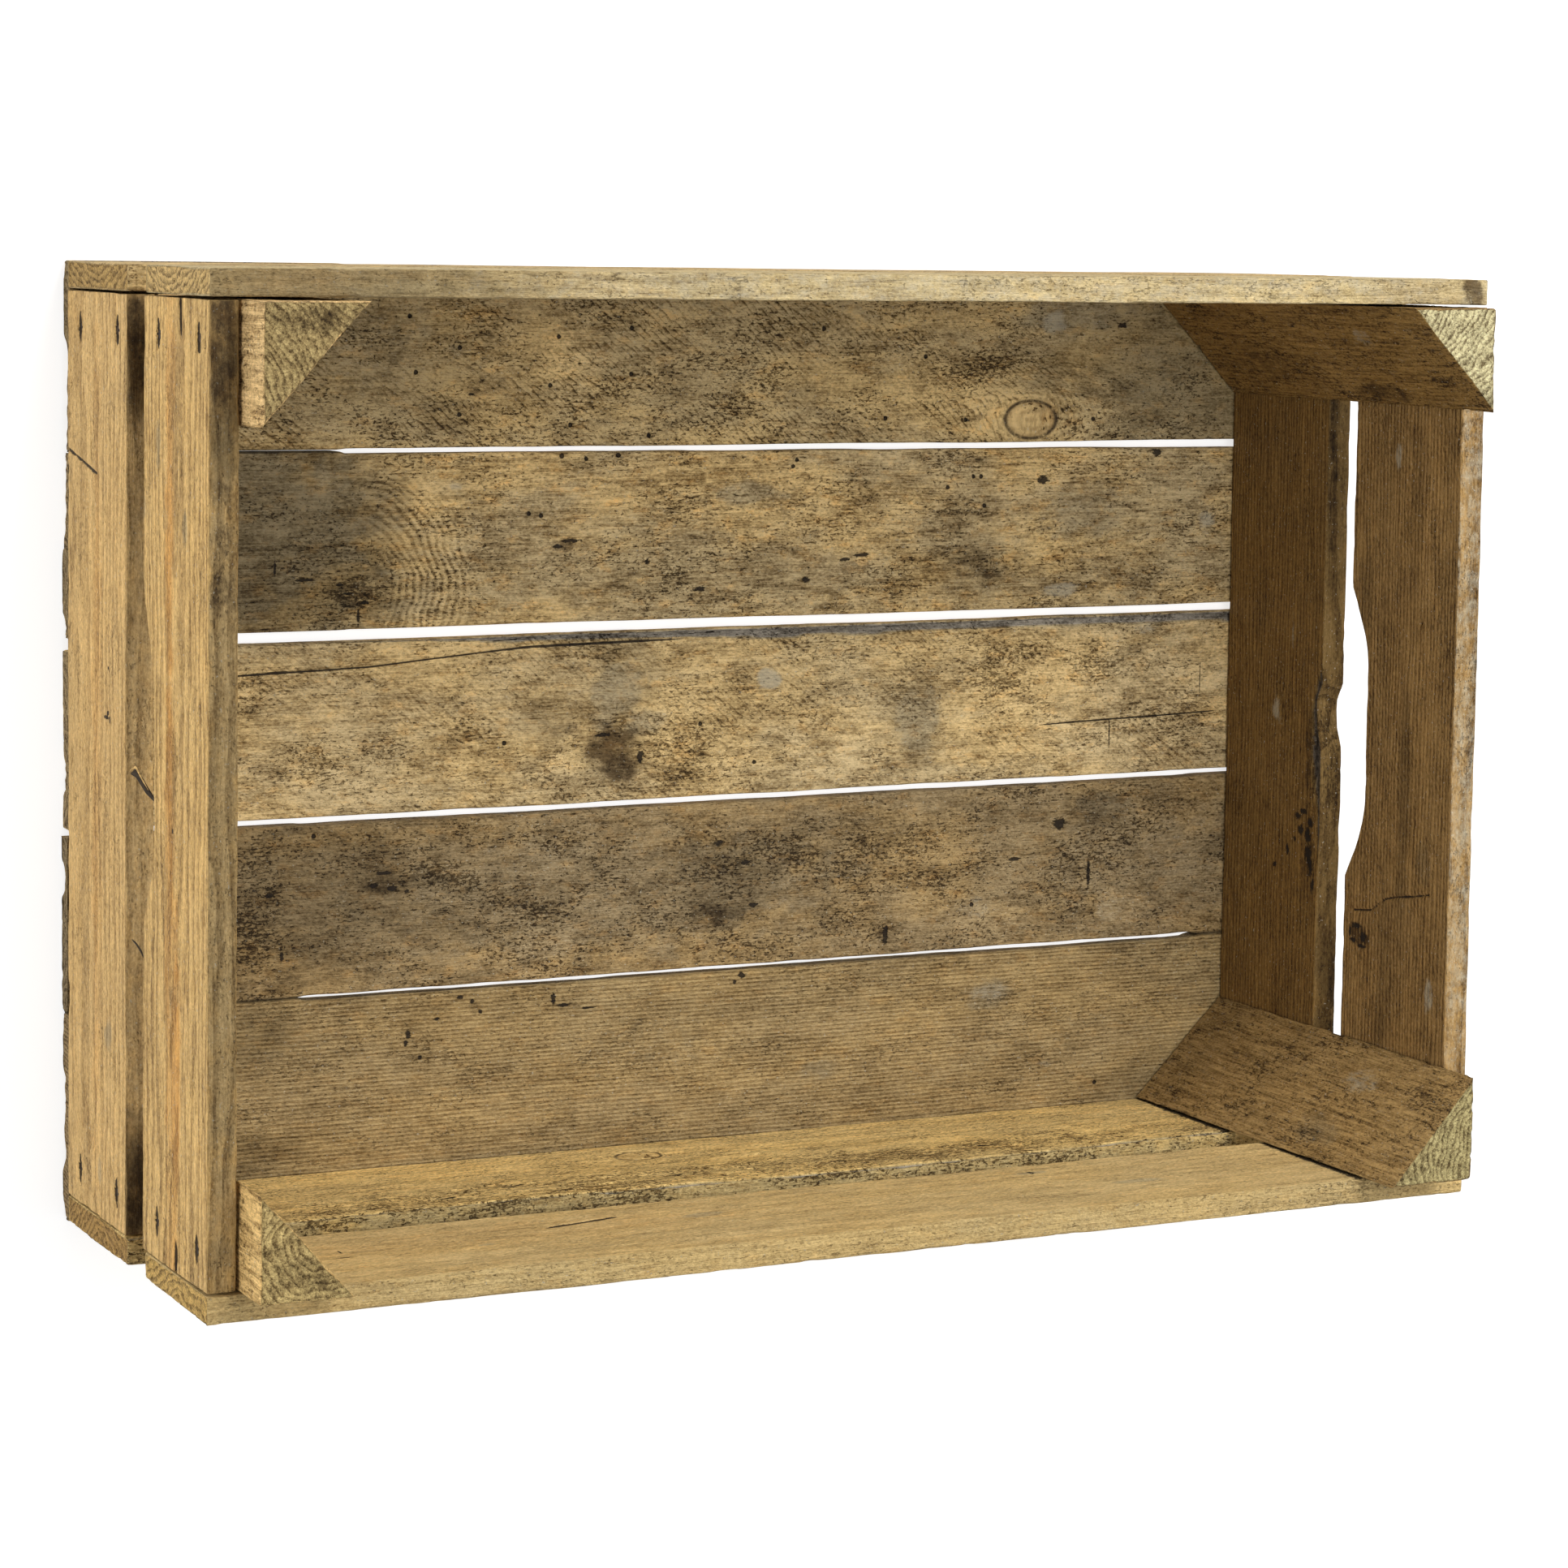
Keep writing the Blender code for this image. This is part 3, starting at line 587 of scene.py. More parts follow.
def make_piece(name, points, faces, material, attributes=None):
    """A mesh object from points in mm and four-sided faces, with smooth shading."""
    if mesh_volume(points, faces) < 0:
        faces = faces[:, ::-1]
    mesh = bpy.data.meshes.new(name)
    mesh.vertices.add(len(points))
    mesh.vertices.foreach_set("co", ((points + CORNER) * MM).astype(np.float32).ravel())
    mesh.loops.add(faces.size)
    mesh.loops.foreach_set("vertex_index", np.ascontiguousarray(faces).astype(np.int32).ravel())
    mesh.polygons.add(len(faces))
    mesh.polygons.foreach_set("loop_start", np.arange(0, faces.size, 4, dtype=np.int32))
    mesh.update(calc_edges=True)
    mesh.validate()
    mesh.shade_smooth()
    for label, (kind, values) in (attributes or {}).items():
        layer = mesh.attributes.new(label, kind, "POINT")
        field = {"FLOAT_VECTOR": "vector", "FLOAT_COLOR": "color", "FLOAT": "value"}[kind]
        layer.data.foreach_set(field, values.astype(np.float32).ravel())
    mesh.materials.append(material)
    piece = bpy.data.objects.new(name, mesh)
    bpy.context.scene.collection.objects.link(piece)
    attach(piece, "root")
    return piece


def paint_layers(grain, tone, figure, wear, place):
    """What the material of a wooden piece reads at each point. The grain's places are in mm."""
    return {
        "grain": ("FLOAT_VECTOR", grain * MM),
        "tone": ("FLOAT_COLOR", np.stack(tone, axis=1)),
        "figure": ("FLOAT_VECTOR", np.stack(figure, axis=1)),
        # "wear" holds the openings, the soft brightness change (which includes painted shade and painted
        # light) and the burl arcs
        "wear": ("FLOAT_VECTOR", np.stack(wear, axis=1)),
        "place": ("FLOAT_VECTOR", np.stack(place, axis=1)),
    }


# ================================================================ boards


def corner_box(node):
    """Lowest and highest corner of a CAD node in mm, measured from the crate's front left corner."""
    low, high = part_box(node)
    return np.array(low) / MM - CORNER, np.array(high) / MM - CORNER


def board_nails(axes, low, high):
    """Heads of the nails that are sunk into this board's outside: (along, across, through, outward sign)."""
    heads = []
    for node in frame["nodes"]:
        if not node.startswith("nail_"):
            continue
        nail_low, nail_high = corner_box(node)
        size = nail_high - nail_low
        long_axis = int(np.argmax(size))
        if long_axis != axes[2]:
            continue
        middle = (nail_low + nail_high) / 2
        if not (low[axes[0]] < middle[axes[0]] < high[axes[0]]):
            continue
        if not (low[axes[1]] < middle[axes[1]] < high[axes[1]]):
            continue
        through = axes[2]
        if abs(nail_low[through] - low[through]) < 2 * NAIL_SUNK:
            heads.append((middle[axes[0]], middle[axes[1]], low[through], -1))
        if abs(nail_high[through] - high[through]) < 2 * NAIL_SUNK:
            heads.append((middle[axes[0]], middle[axes[1]], high[through], 1))
    return heads


def hold_rise(name, along):
    """How far the low edge rises over the finger hold."""
    if name not in HOLDS:
        return np.zeros_like(along)
    front, back, depth = HOLDS[name]
    up = np.clip((along - front) / HOLD_RAMP, 0, 1)
    down = np.clip((back - along) / HOLD_RAMP, 0, 1)
    return depth * np.sin(math.pi / 2 * np.minimum(up, down))


def touching_share(name, along):
    """1 where the board touches its neighbour, and 0 elsewhere."""
    share = np.zeros_like(along)
    for touch_start, touch_end in TOUCHING.get(name, []):
        here = step_up(along, touch_start - 6, touch_start) * step_up(along, touch_end + 6, touch_end)
        share = np.maximum(share, here)
    return share


def board_edges(name, along, low, high, seed):
    """The low and the high edge of a board across its face, with a little waviness from the saw."""
    low_table, high_table = EDGES.get(name, (None, None))
    low_edge = np.full_like(along, low)
    high_edge = np.full_like(along, high)
    if low_table:
        low_edge = follow(along, low_table)
    if high_table:
        high_edge = follow(along, high_table)
    low_edge = low_edge + hold_rise(name, along)
    places = np.stack([along, np.zeros_like(along), np.zeros_like(along)], axis=1)
    touching = touching_share(name, along)
    waviness = 1.1 * (1 - touching)
    low_edge = low_edge + waviness * (rough_noise(places, (45, 1, 1), seed, 5) - 0.45)
    high_edge = high_edge - waviness * (rough_noise(places, (45, 1, 1), seed + 5, 5) - 0.45)
    reach = TOUCH_REACH * touching
    low_limit = low - reach if low_table else low
    high_limit = high + reach if high_table else high
    return np.maximum(low_edge, low_limit), np.minimum(high_edge, high_limit)


def seam_distance(name, depths):
    """How far each point is from the edge that touches the neighbour."""
    return depths[2] if SEAM_SIDES.get(name) == "low" else depths[3]


# Over what length and width the mesh lines bend towards a crack
CRACK_FADE = 22.0
CRACK_REACH = 16.0


def follow(along, points):
    """The across place of a line through the given (along, across) points."""
    return np.interp(along, [point[0] for point in points], [point[1] for point in points])


def middle_across(points):
    """Where a crack lies across the board on average."""
    return float(np.mean([point[1] for point in points]))


def bend_lines_to_cracks(places, cracks, lines):
    """Moves the mesh line nearest to each crack onto it, and its neighbours along with it."""
    across = places[:, 1].copy()
    for _, points in cracks:
        first = points[0][0]
        last = points[-1][0]
        line = lines[np.argmin(np.abs(lines - middle_across(points)))]
        target = follow(places[:, 0], points)
        reach = np.interp(places[:, 0], [first - CRACK_FADE, first, last, last + CRACK_FADE], [0, 1, 1, 0])
        nearness = np.clip(1 - np.abs(places[:, 1] - line) / CRACK_REACH, 0, 1)
        across += (target - line) * reach * nearness
    return across


def crack_depth(along, across, cracks, depth):
    """How deep the open cracks are at each point."""
    total = np.zeros_like(along)
    for width, points in cracks:
        first = points[0][0]
        last = points[-1][0]
        ends = np.clip(np.minimum(along - first, last - along) / (0.15 * (last - first)), 0, 1)
        profile = np.exp(-((across - follow(along, points)) / width) ** 2)
        total = np.maximum(total, depth * ends * profile)
    return total


def pull_points_to_holes(places, holes, seen):
    """Draws the mesh points around each worm hole in, so that a small round pit can be sunk there."""
    moved = places.copy()
    for along, across in holes:
        offset = moved[:, :2] - np.array([along, across])
        distance = np.linalg.norm(offset, axis=1)
        close = (distance < 6.0) & seen
        if not close.any():
            continue
        nearest = np.flatnonzero(close)[np.argmin(distance[close])]
        shift = offset[nearest].copy()
        share = (1 - distance[close] / 6.0)[:, None] ** 0.5
        share = np.where(distance[close][:, None] < distance[nearest] + 1e-6, 1.0, share)
        moved[close, :2] -= shift * np.clip(share, 0, 1)
        offset = moved[:, :2] - np.array([along, across])
        distance = np.linalg.norm(offset, axis=1)
        close = (distance < 5.0) & seen
        shrink = 0.62 + 0.38 * step_up(distance[close], 1.2, 5.0)
        moved[close, :2] = np.array([along, across]) + offset[close] * shrink[:, None]
    return moved


def hole_depth(places, holes, radius, depth):
    """How deep the worm holes are at each point."""
    total = np.zeros(len(places))
    for along, across in holes:
        distance = np.hypot(places[:, 0] - along, places[:, 1] - across)
        total = np.maximum(total, depth * (1 - step_up(distance, 0.35 * radius, radius)))
    return total


def knot_distance(along, across, knots):
    """0 in the middle of the nearest knot, 1 on its outline and at most 4 far from it."""
    nearest = np.full_like(along, 4.0)
    for knot_along, knot_across, half_length, half_width in knots:
        distance = np.hypot((along - knot_along) / half_length, (across - knot_across) / half_width)
        nearest = np.minimum(nearest, distance)
    return nearest


def flow_around_knots(along, across, knots):
    """The grain's own across position, which bends around each knot."""
    flowing = across.copy()
    for knot_along, knot_across, half_length, half_width in knots:
        offset = across - knot_across
        distance = np.hypot((along - knot_along) / (2.4 * half_length), offset / (2.0 * half_width))
        flowing -= offset * 0.85 * np.exp(-distance ** 2)
    return flowing


def burl_share(along, across, burls):
    """How clearly the arcs beside each burl show."""
    clearness = np.zeros_like(along)
    for burl_along, burl_across, reach in burls:
        radius = np.hypot(along - burl_along, across - burl_across)
        beside = step_up(along - burl_along, 0.1 * reach, 0.35 * reach)
        near = step_up(radius, 0.3 * reach, 0.5 * reach) * step_up(radius, 1.15 * reach, 0.8 * reach)
        clearness = np.maximum(clearness, near * beside)
    return clearness


# The two directions in which the places on each side are measured
SIDE_COLUMNS = {"": (0, 1), "face": (0, 1), "rim": (0, 2), "top": (1, 2)}


def mark_strength(kind, marks, places, sides, seed, raggedness=1.1):
    """How strongly the listed marks of one kind show at each point, with ragged outlines."""
    ragged = rough_noise(places, (9, 7, 7), seed, 3)
    total = np.zeros(len(places))
    for label, ellipses in marks.items():
        mark_kind, _, side = label.partition(" ")
        if mark_kind != kind:
            continue
        first_places, second_places = (places[:, column] for column in SIDE_COLUMNS[side])
        if side == "rim":
            second_places = second_places - sides["through_start"]
        for first, second, half_first, half_second, strength in ellipses:
            distance = np.hypot((first_places - first) / half_first, (second_places - second) / half_second)
            shape = 1 - step_up(distance + raggedness * (ragged - 0.5), 0.45, 1.25)
            total = np.maximum(total, strength * shape * sides[side])
    return total


# The kinds of marks with ragged outlines, and what is added to the seed for each
RAGGED_KINDS = {"torn": 21, "stain": 71, "pale": 81, "grey": 91, "warm": 101, "smooth": 121}


def find_marks(name, places, sides, seed):
    """How strongly each kind of mark shows at each point, and how much brighter the soft ones make it."""
    marks = MARKS.get(name, {})
    found = {}
    for kind, extra in RAGGED_KINDS.items():
        found[kind] = mark_strength(kind, marks, places, sides, seed + extra)
    light = mark_strength("light", marks, places, sides, seed + 111, 0.7)
    dark = mark_strength("dark", marks, places, sides, seed + 114, 0.7)
    found["shade"] = light - dark
    return found


def board_lines(name, start, end, nails):
    """The mesh lines along, across and through a board, which are finer at its nails, cracks and tears."""
    cracks = CRACKS.get(name, [])
    tear_points = TEARS[name][2] if name in TEARS else []
    along_places = {nail[0] for nail in nails} | {point[0] for point in tear_points}
    across_places = {nail[1] for nail in nails} | {middle_across(points) for _, points in cracks}
    return [
        grid_lines(start[0], end[0], CELL_ALONG, sorted(along_places)),
        grid_lines(start[1], end[1], CELL_ACROSS, sorted(across_places)),
        grid_lines(start[2], end[2], CELL_THROUGH),
    ]


def fit_outline(name, places, lines, start, end, seen_face, seed):
    """Moves the mesh points to the board's edges, cracks and worm holes, and says where the edges are."""
    inside = (places[:, 1] > start[1] + 3) & (places[:, 1] < end[1] - 3)
    low_edge, high_edge = board_edges(name, places[:, 0], start[1], end[1], seed)
    share = (places[:, 1] - start[1]) / (end[1] - start[1])
    places[:, 1] = low_edge + share * (high_edge - low_edge)
    bent = bend_lines_to_cracks(places, CRACKS.get(name, []), lines[1])
    places[:, 1] = np.clip(np.where(inside, bent, places[:, 1]), low_edge, high_edge)
    places = pull_points_to_holes(places, WORM_HOLES.get(name, []), seen_face & inside)
    return places, low_edge, high_edge


def wear_radius(name, places, start, end, seed):
    """How far the board's edges are worn round, in mm."""
    wear = 0.5 + 3.2 * rough_noise(places, (14, 30, 30), seed + 11, 3) ** 3.0
    wear *= 1 - 0.75 * touching_share(name, places[:, 0])
    if name.startswith("floor_board"):
        wear += broken_foot(places, start, end, seed + 15)
    return wear


def bark_overhang(name, places, seed):
    """How far each point lies beyond the line where the log's rough outside begins, in mm."""
    if name not in BARK:
        return np.zeros(len(places))
    bark_line = follow(places[:, 0], BARK[name][1])
    bark_line += 2.2 * (rough_noise(places * [1, 0, 0], (26, 1, 1), seed + 61, 4) - 0.5)
    return np.clip(places[:, 1] - bark_line, 0, None)


def board_relief(name, places, outward, seen, nails, torn, seed):
    """What is sunk into the sawn surface at each point, by its name."""
    along = places[:, 0]
    across = places[:, 1]
    return {
        "pits": step_up(rough_noise(places, (7, 2.6, 2.6), seed + 41, 2), 0.60 - 0.10 * torn, 0.82),
        "crack": crack_depth(along, across, CRACKS.get(name, []), CRACK_DEPTH) * seen,
        "worm": hole_depth(places, WORM_HOLES.get(name, []), PIT_RADIUS, PIT_DEPTH) * seen,
        "hollow": nail_hollows(places, nails, outward),
        "tear": tear_depth(name, places) * seen,
        "bark": bark_overhang(name, places, seed) * seen,
        "knot": knot_distance(along, across, KNOTS.get(name, [])),
    }


def board_depth(name, places, outward, relief, found, seen, seed):
    """How deep each point lies below the sawn surface, in mm."""
    flat_face = np.abs(outward[:, 2])
    fibres = rough_noise(places, (26, 2.4, 2.4), seed + 31, 2)
    waves = rough_noise(places, (70, 22, 22), seed + 35, 2)
    ragged_end = rough_noise(places, (30, 3.0, 3.0), seed + 51, 2)
    knot_ring = np.exp(-((relief["knot"] - 1.0) / 0.16) ** 2) * flat_face
    depth = 0.22 * fibres + 0.45 * waves + (0.35 + 0.6 * found["torn"]) * relief["pits"] * flat_face
    depth += end_share(outward) * 1.3 * ragged_end ** 1.5
    depth += relief["crack"] + relief["worm"] + 0.45 * knot_ring + relief["hollow"] + relief["tear"]
    if name in BARK:
        depth += BARK[name][0] * relief["bark"] + 0.5 * step_up(relief["bark"], 0, 1) * fibres
    depth -= 0.35 * found["pale"] * seen
    return depth * (1 - touching_share(name, places[:, 0]) * step_up(np.abs(outward[:, 1]), 0.1, 0.6))


def board_paint(name, places, outward, relief, found, seen, depths):
    """What the board's material reads at each point."""
    flat_face = np.abs(outward[:, 2])
    bark = step_up(relief["bark"], 0.0, 1.2)
    stain = np.maximum(found["stain"], 0.30 * bark)
    stain = np.maximum(stain, 0.35 * relief["pits"] * flat_face * (0.3 + found["torn"]))
    pale = np.maximum(found["pale"], 0.30 * edge_share(outward))
    grey = np.maximum(found["grey"], 2 * bark)
    # a dark line along the edge that touches the neighbour: painted shade of the narrow gap between the boards
    painted_seam_shade = touching_share(name, places[:, 0]) * step_up(seam_distance(name, depths), 1.1, 0.3)
    shade = found["shade"] - 0.42 * bark - 0.55 * painted_seam_shade
    opening = np.maximum(np.clip(relief["crack"] / 0.9, 0, 1), np.clip(relief["hollow"] / 0.9, 0, 1))
    opening = np.maximum(opening, 0.72 * np.clip(relief["tear"], 0, 1))
    arcs = burl_share(places[:, 0], places[:, 1], BURLS.get(name, []))
    flowing = flow_around_knots(places[:, 0], places[:, 1], KNOTS.get(name, []))
    return paint_layers(
        np.stack([places[:, 0], flowing, places[:, 2]], axis=1),
        [stain, pale, grey, end_share(outward)],
        [np.minimum(relief["knot"], 4.0), found["warm"], found["torn"]],
        [opening, shade, arcs - found["smooth"]],
        [places[:, 0] * MM, places[:, 1] * MM, seen])


def end_share(outward):
    """1 on the sawn ends of a piece of wood, and 0 on its long sides."""
    return step_up(np.abs(outward[:, 0]), 0.75, 0.95)


def edge_share(outward):
    """More than 0 where a corner is rounded."""
    return 1 - np.max(np.abs(outward), axis=1)


def add_wood(name, points, faces, layers):
    """The piece that stands for a wooden CAD node."""
    material = wood_material(name, **WOOD[name])
    piece = make_piece(f"{name}_wood", points, faces, material, layers)
    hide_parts(name)


def make_board(name, seed):
    """A sawn board with its outline, worn edges, cracks, holes and marks."""
    along_name, across_name, through_name, seen_sign = BOARDS[name]
    axes = [AXES[along_name], AXES[across_name], AXES[through_name]]
    low, high = corner_box(name)
    start = low[axes]
    end = high[axes]
    nails = board_nails(axes, low, high)
    lines = board_lines(name, start, end, nails)
    places, faces = box_surface(lines)
    seen_face = places[:, 2] == (lines[2][-1] if seen_sign > 0 else lines[2][0])
    places, low_edge, high_edge = fit_outline(name, places, lines, start, end, seen_face, seed)

    depths = [
        places[:, 0] - start[0], end[0] - places[:, 0],
        places[:, 1] - low_edge, high_edge - places[:, 1],
        places[:, 2] - start[2], end[2] - places[:, 2],
    ]
    normals = [(-1, 0, 0), (1, 0, 0), (0, -1, 0), (0, 1, 0), (0, 0, -1), (0, 0, 1)]
    push, outward = soften_edges(depths, normals, wear_radius(name, places, start, end, seed))
    seen = np.clip(outward[:, 2] * seen_sign, 0, 1)
    sides = {"": seen, "rim": np.clip(outward[:, 1], 0, 1), "through_start": start[2]}

    found = find_marks(name, places, sides, seed)
    relief = board_relief(name, places, outward, seen, nails, found["torn"], seed)
    depth = board_depth(name, places, outward, relief, found, seen, seed)
    depth = np.clip(depth, 0, DEEPEST_SHARE * (end[2] - start[2]))
    final = places + push - outward * depth[:, None]
    points = np.empty_like(final)
    points[:, axes] = final
    add_wood(name, points, faces, board_paint(name, places, outward, relief, found, seen, depths))


def broken_foot(places, start, end, seed):
    """How much more is broken off the lower edge of a floor board near its ends, in mm."""
    from_end = np.minimum(places[:, 0] - start[0], end[0] - places[:, 0])
    near_end = step_up(from_end, 30, 10)
    below = step_up(places[:, 2], end[2] - 3, end[2] - 7)
    chunks = step_up(rough_noise(places, (30, 15, 30), seed, 3), 0.42, 0.72)
    return 5.0 * near_end * below * chunks


def nail_hollows(places, nails, outward):
    """The spindle-shaped hollow that the hammer left around each nail head."""
    half_length, half_width = NAIL_HOLLOW
    total = np.zeros(len(places))
    for along, across, _, sign in nails:
        spread = ((places[:, 0] - along) / half_length) ** 2 + ((places[:, 1] - across) / half_width) ** 2
        cap = ((places[:, 0] - along) / 2.8) ** 2 + ((places[:, 1] - across) / 2.8) ** 2
        facing = np.clip(outward[:, 2] * sign, 0, 1)
        hollow = np.maximum(1.1 * np.sqrt(np.clip(1 - spread, 0, 1)), 2.2 * np.clip(1 - cap, 0, 1) ** 0.4)
        total = np.maximum(total, hollow * facing)
    return total


def tear_depth(name, places):
    """A crack across the grain that steps from fibre to fibre."""
    if name not in TEARS:
        return np.zeros(len(places))
    depth, width, points = TEARS[name]
    across_points = [point[1] for point in points]
    target = np.interp(places[:, 1], across_points, [point[0] for point in points])
    within = (places[:, 1] > across_points[0]) & (places[:, 1] < across_points[-1])
    return np.where(within, depth * np.exp(-((places[:, 0] - target) / width) ** 2), 0.0)


# ================================================================ corner posts


def make_post(name, seed):
    """A three-cornered post that stands in a corner of the crate."""
    leg_x, leg_y, foot_extra = POSTS[name]
    low, high = corner_box(name)
    left = "left" in name
    front = "front" in name
    corner = np.array([low[0] if left else high[0], low[1] if front else high[1]])
    toward = np.array([1 if left else -1, 1 if front else -1])
    height_lines = grid_lines(low[2], high[2], CELL_ALONG)
    share_lines = grid_lines(0.0, 46.0, 1.7) / 46.0
    squares, faces = box_surface([height_lines, share_lines, share_lines])
    s = squares[:, 1]
    t = squares[:, 2]
    leg_here = leg_x + foot_extra * (high[2] - squares[:, 0]) / (high[2] - low[2])
    a = leg_here * (s * (1 - t) + 0.5 * s * t)
    b = leg_y * (t * (1 - s) + 0.5 * s * t)
    nominal = np.stack([squares[:, 0], a, b], axis=1)

    slope = math.hypot(leg_x, leg_y)
    long_face = (leg_here * leg_y - leg_y * a - leg_here * b) / slope
    depths = [nominal[:, 0] - low[2], high[2] - nominal[:, 0], a, b, long_face]
    normals = [(-1, 0, 0), (1, 0, 0), (0, -1, 0), (0, 0, -1), (0, leg_y / slope, leg_x / slope)]
    wear = 0.9 + 3.4 * rough_noise(nominal, (16, 16, 16), seed + 11, 3) ** 2.5
    push, outward = soften_edges(depths, normals, wear)
    end_face = end_share(outward)
    fibres = rough_noise(nominal, (26, 2.4, 2.4), seed + 31, 2)
    waves = rough_noise(nominal, (60, 16, 16), seed + 35, 2)
    pits = step_up(rough_noise(nominal, (7, 2.2, 2.2), seed + 41, 2), 0.58, 0.8)
    saw_bite = rough_noise(nominal, (4, 9, 9), seed + 45, 2)
    ragged_end = rough_noise(nominal, (30, 3.4, 3.4), seed + 51, 2)
    depth = 0.3 * fibres + 0.5 * waves + 0.5 * pits * (1 - end_face) + 0.25 * saw_bite * (1 - end_face)
    depth += end_face * 1.5 * ragged_end ** 1.5
    final = nominal + push - outward * depth[:, None]

    facing = np.clip(outward @ np.array([0, leg_y / slope, leg_x / slope]), 0, 1)
    sides = {"face": step_up(facing, 0.6, 0.9), "top": np.clip(outward[:, 0], 0, 1)}
    found = find_marks(name, nominal, sides, seed)
    stain = np.maximum(0.4 * pits, found["stain"])
    pale = np.maximum(0.3 * edge_share(outward), found["pale"])
    torn = np.maximum(pits, found["torn"])
    blank = np.zeros_like(stain)
    layers = paint_layers(
        nominal, [stain, pale, found["grey"], end_face], [blank + 4.0, found["warm"], torn],
        [blank, found["shade"], blank], [blank] * 3)
    points = np.stack([
        corner[0] + toward[0] * final[:, 1], corner[1] + toward[1] * final[:, 2], final[:, 0]], axis=1)
    add_wood(name, points, faces, layers)


# ================================================================ nails and splinters


def ring_faces(rings, sides):
    """Faces of a tube made of rings of points, which is closed at both ends."""
    faces = []
    for ring in range(rings - 1):
        for side in range(sides):
            following = (side + 1) % sides
            faces.append([ring * sides + side, ring * sides + following,
                          (ring + 1) * sides + following, (ring + 1) * sides + side])
    for start in (0, (rings - 1) * sides):
        for step in range(0, sides - 2, 2):
            faces.append([start, start + step + 1, start + step + 2, start + (step + 3) % sides])
    return np.array(faces)


def turned_piece(name, profile, sides, centre, outward, material, wobble, seed):
    """A turned piece from (radius, height) rings, closed by small rings at both ends."""
    angles = np.arange(sides) * 2 * math.pi / sides
    rings = []
    for radius, height in profile:
        ring = [radius * np.cos(angles), radius * np.sin(angles), np.full(sides, height)]
        rings.append(np.stack(ring, axis=1))
    points = np.concatenate(rings)
    lumps = rough_noise(points + 40.0, (1.6, 1.6, 1.6), seed, 2) - 0.5
    points[:, :2] *= 1 + wobble * lumps[:, None]
    points[:, 2] += 0.6 * wobble * lumps * (points[:, 2] > -1.2)
    turn = Vector(outward).to_track_quat("Z", "Y").to_matrix()
    placed = points @ np.array(turn).T + np.array(centre)
    return make_piece(name, placed, ring_faces(len(profile), sides), material)


def make_nails(material):
    """One rusty nail for each CAD nail, with its head at the same place."""
    for number, node in enumerate(sorted(n for n in frame["nodes"] if n.startswith("nail_"))):
        low, high = corner_box(node)
        long_axis = int(np.argmax(high - low))
        sign = nail_direction(node)
        centre = (low + high) / 2
        centre[long_axis] = high[long_axis] if sign > 0 else low[long_axis]
        outward = [0.0, 0.0, 0.0]
        outward[long_axis] = sign
        piece = turned_piece(
            f"{node}_iron", NAIL_PROFILE, NAIL_SIDES, centre, outward, material, NAIL_WOBBLE,
            500 + number)
        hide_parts(node)


def nail_direction(node):
    """+1 where a nail's head looks along the positive axis, else -1."""
    if "floor" in node:
        return -1
    if "_end_" in node:
        return 1 if "nail_right" in node else -1
    return 1 if "nail_back" in node else -1


def make_splinters():
    """Thin slivers of wood that stand off the left end."""
    for name, path, widths, board, darkness in SPLINTERS:
        path = np.array(path, float)
        steps = np.linspace(0, len(path) - 1, 14)
        corners = np.arange(len(path))
        spine = np.stack([np.interp(steps, corners, path[:, axis]) for axis in range(3)], axis=1)
        width = np.interp(steps, corners, widths)
        sides = 6
        points = []
        for step in range(len(spine)):
            following = spine[min(step + 1, len(spine) - 1)] - spine[max(step - 1, 0)]
            following /= np.linalg.norm(following)
            flat = np.cross(following, (1.0, 0.0, 0.0))
            flat /= np.linalg.norm(flat)
            thin = np.cross(following, flat)
            for side in range(sides):
                angle = 2 * math.pi * side / sides
                turned = math.cos(angle) * flat + 0.35 * math.sin(angle) * thin
                points.append(spine[step] + width[step] * turned)
        points = np.array(points)
        blank = np.zeros(len(points))
        layers = paint_layers(
            points[:, ::-1], [blank + darkness, blank, blank, blank], [blank + 4.0, blank, blank],
            [blank, blank - 0.8 * darkness, blank], [blank] * 3)
        make_piece(name, points, ring_faces(len(spine), sides), bpy.data.materials[f"{board} wood"],
                   layers)


# ================================================================ materials


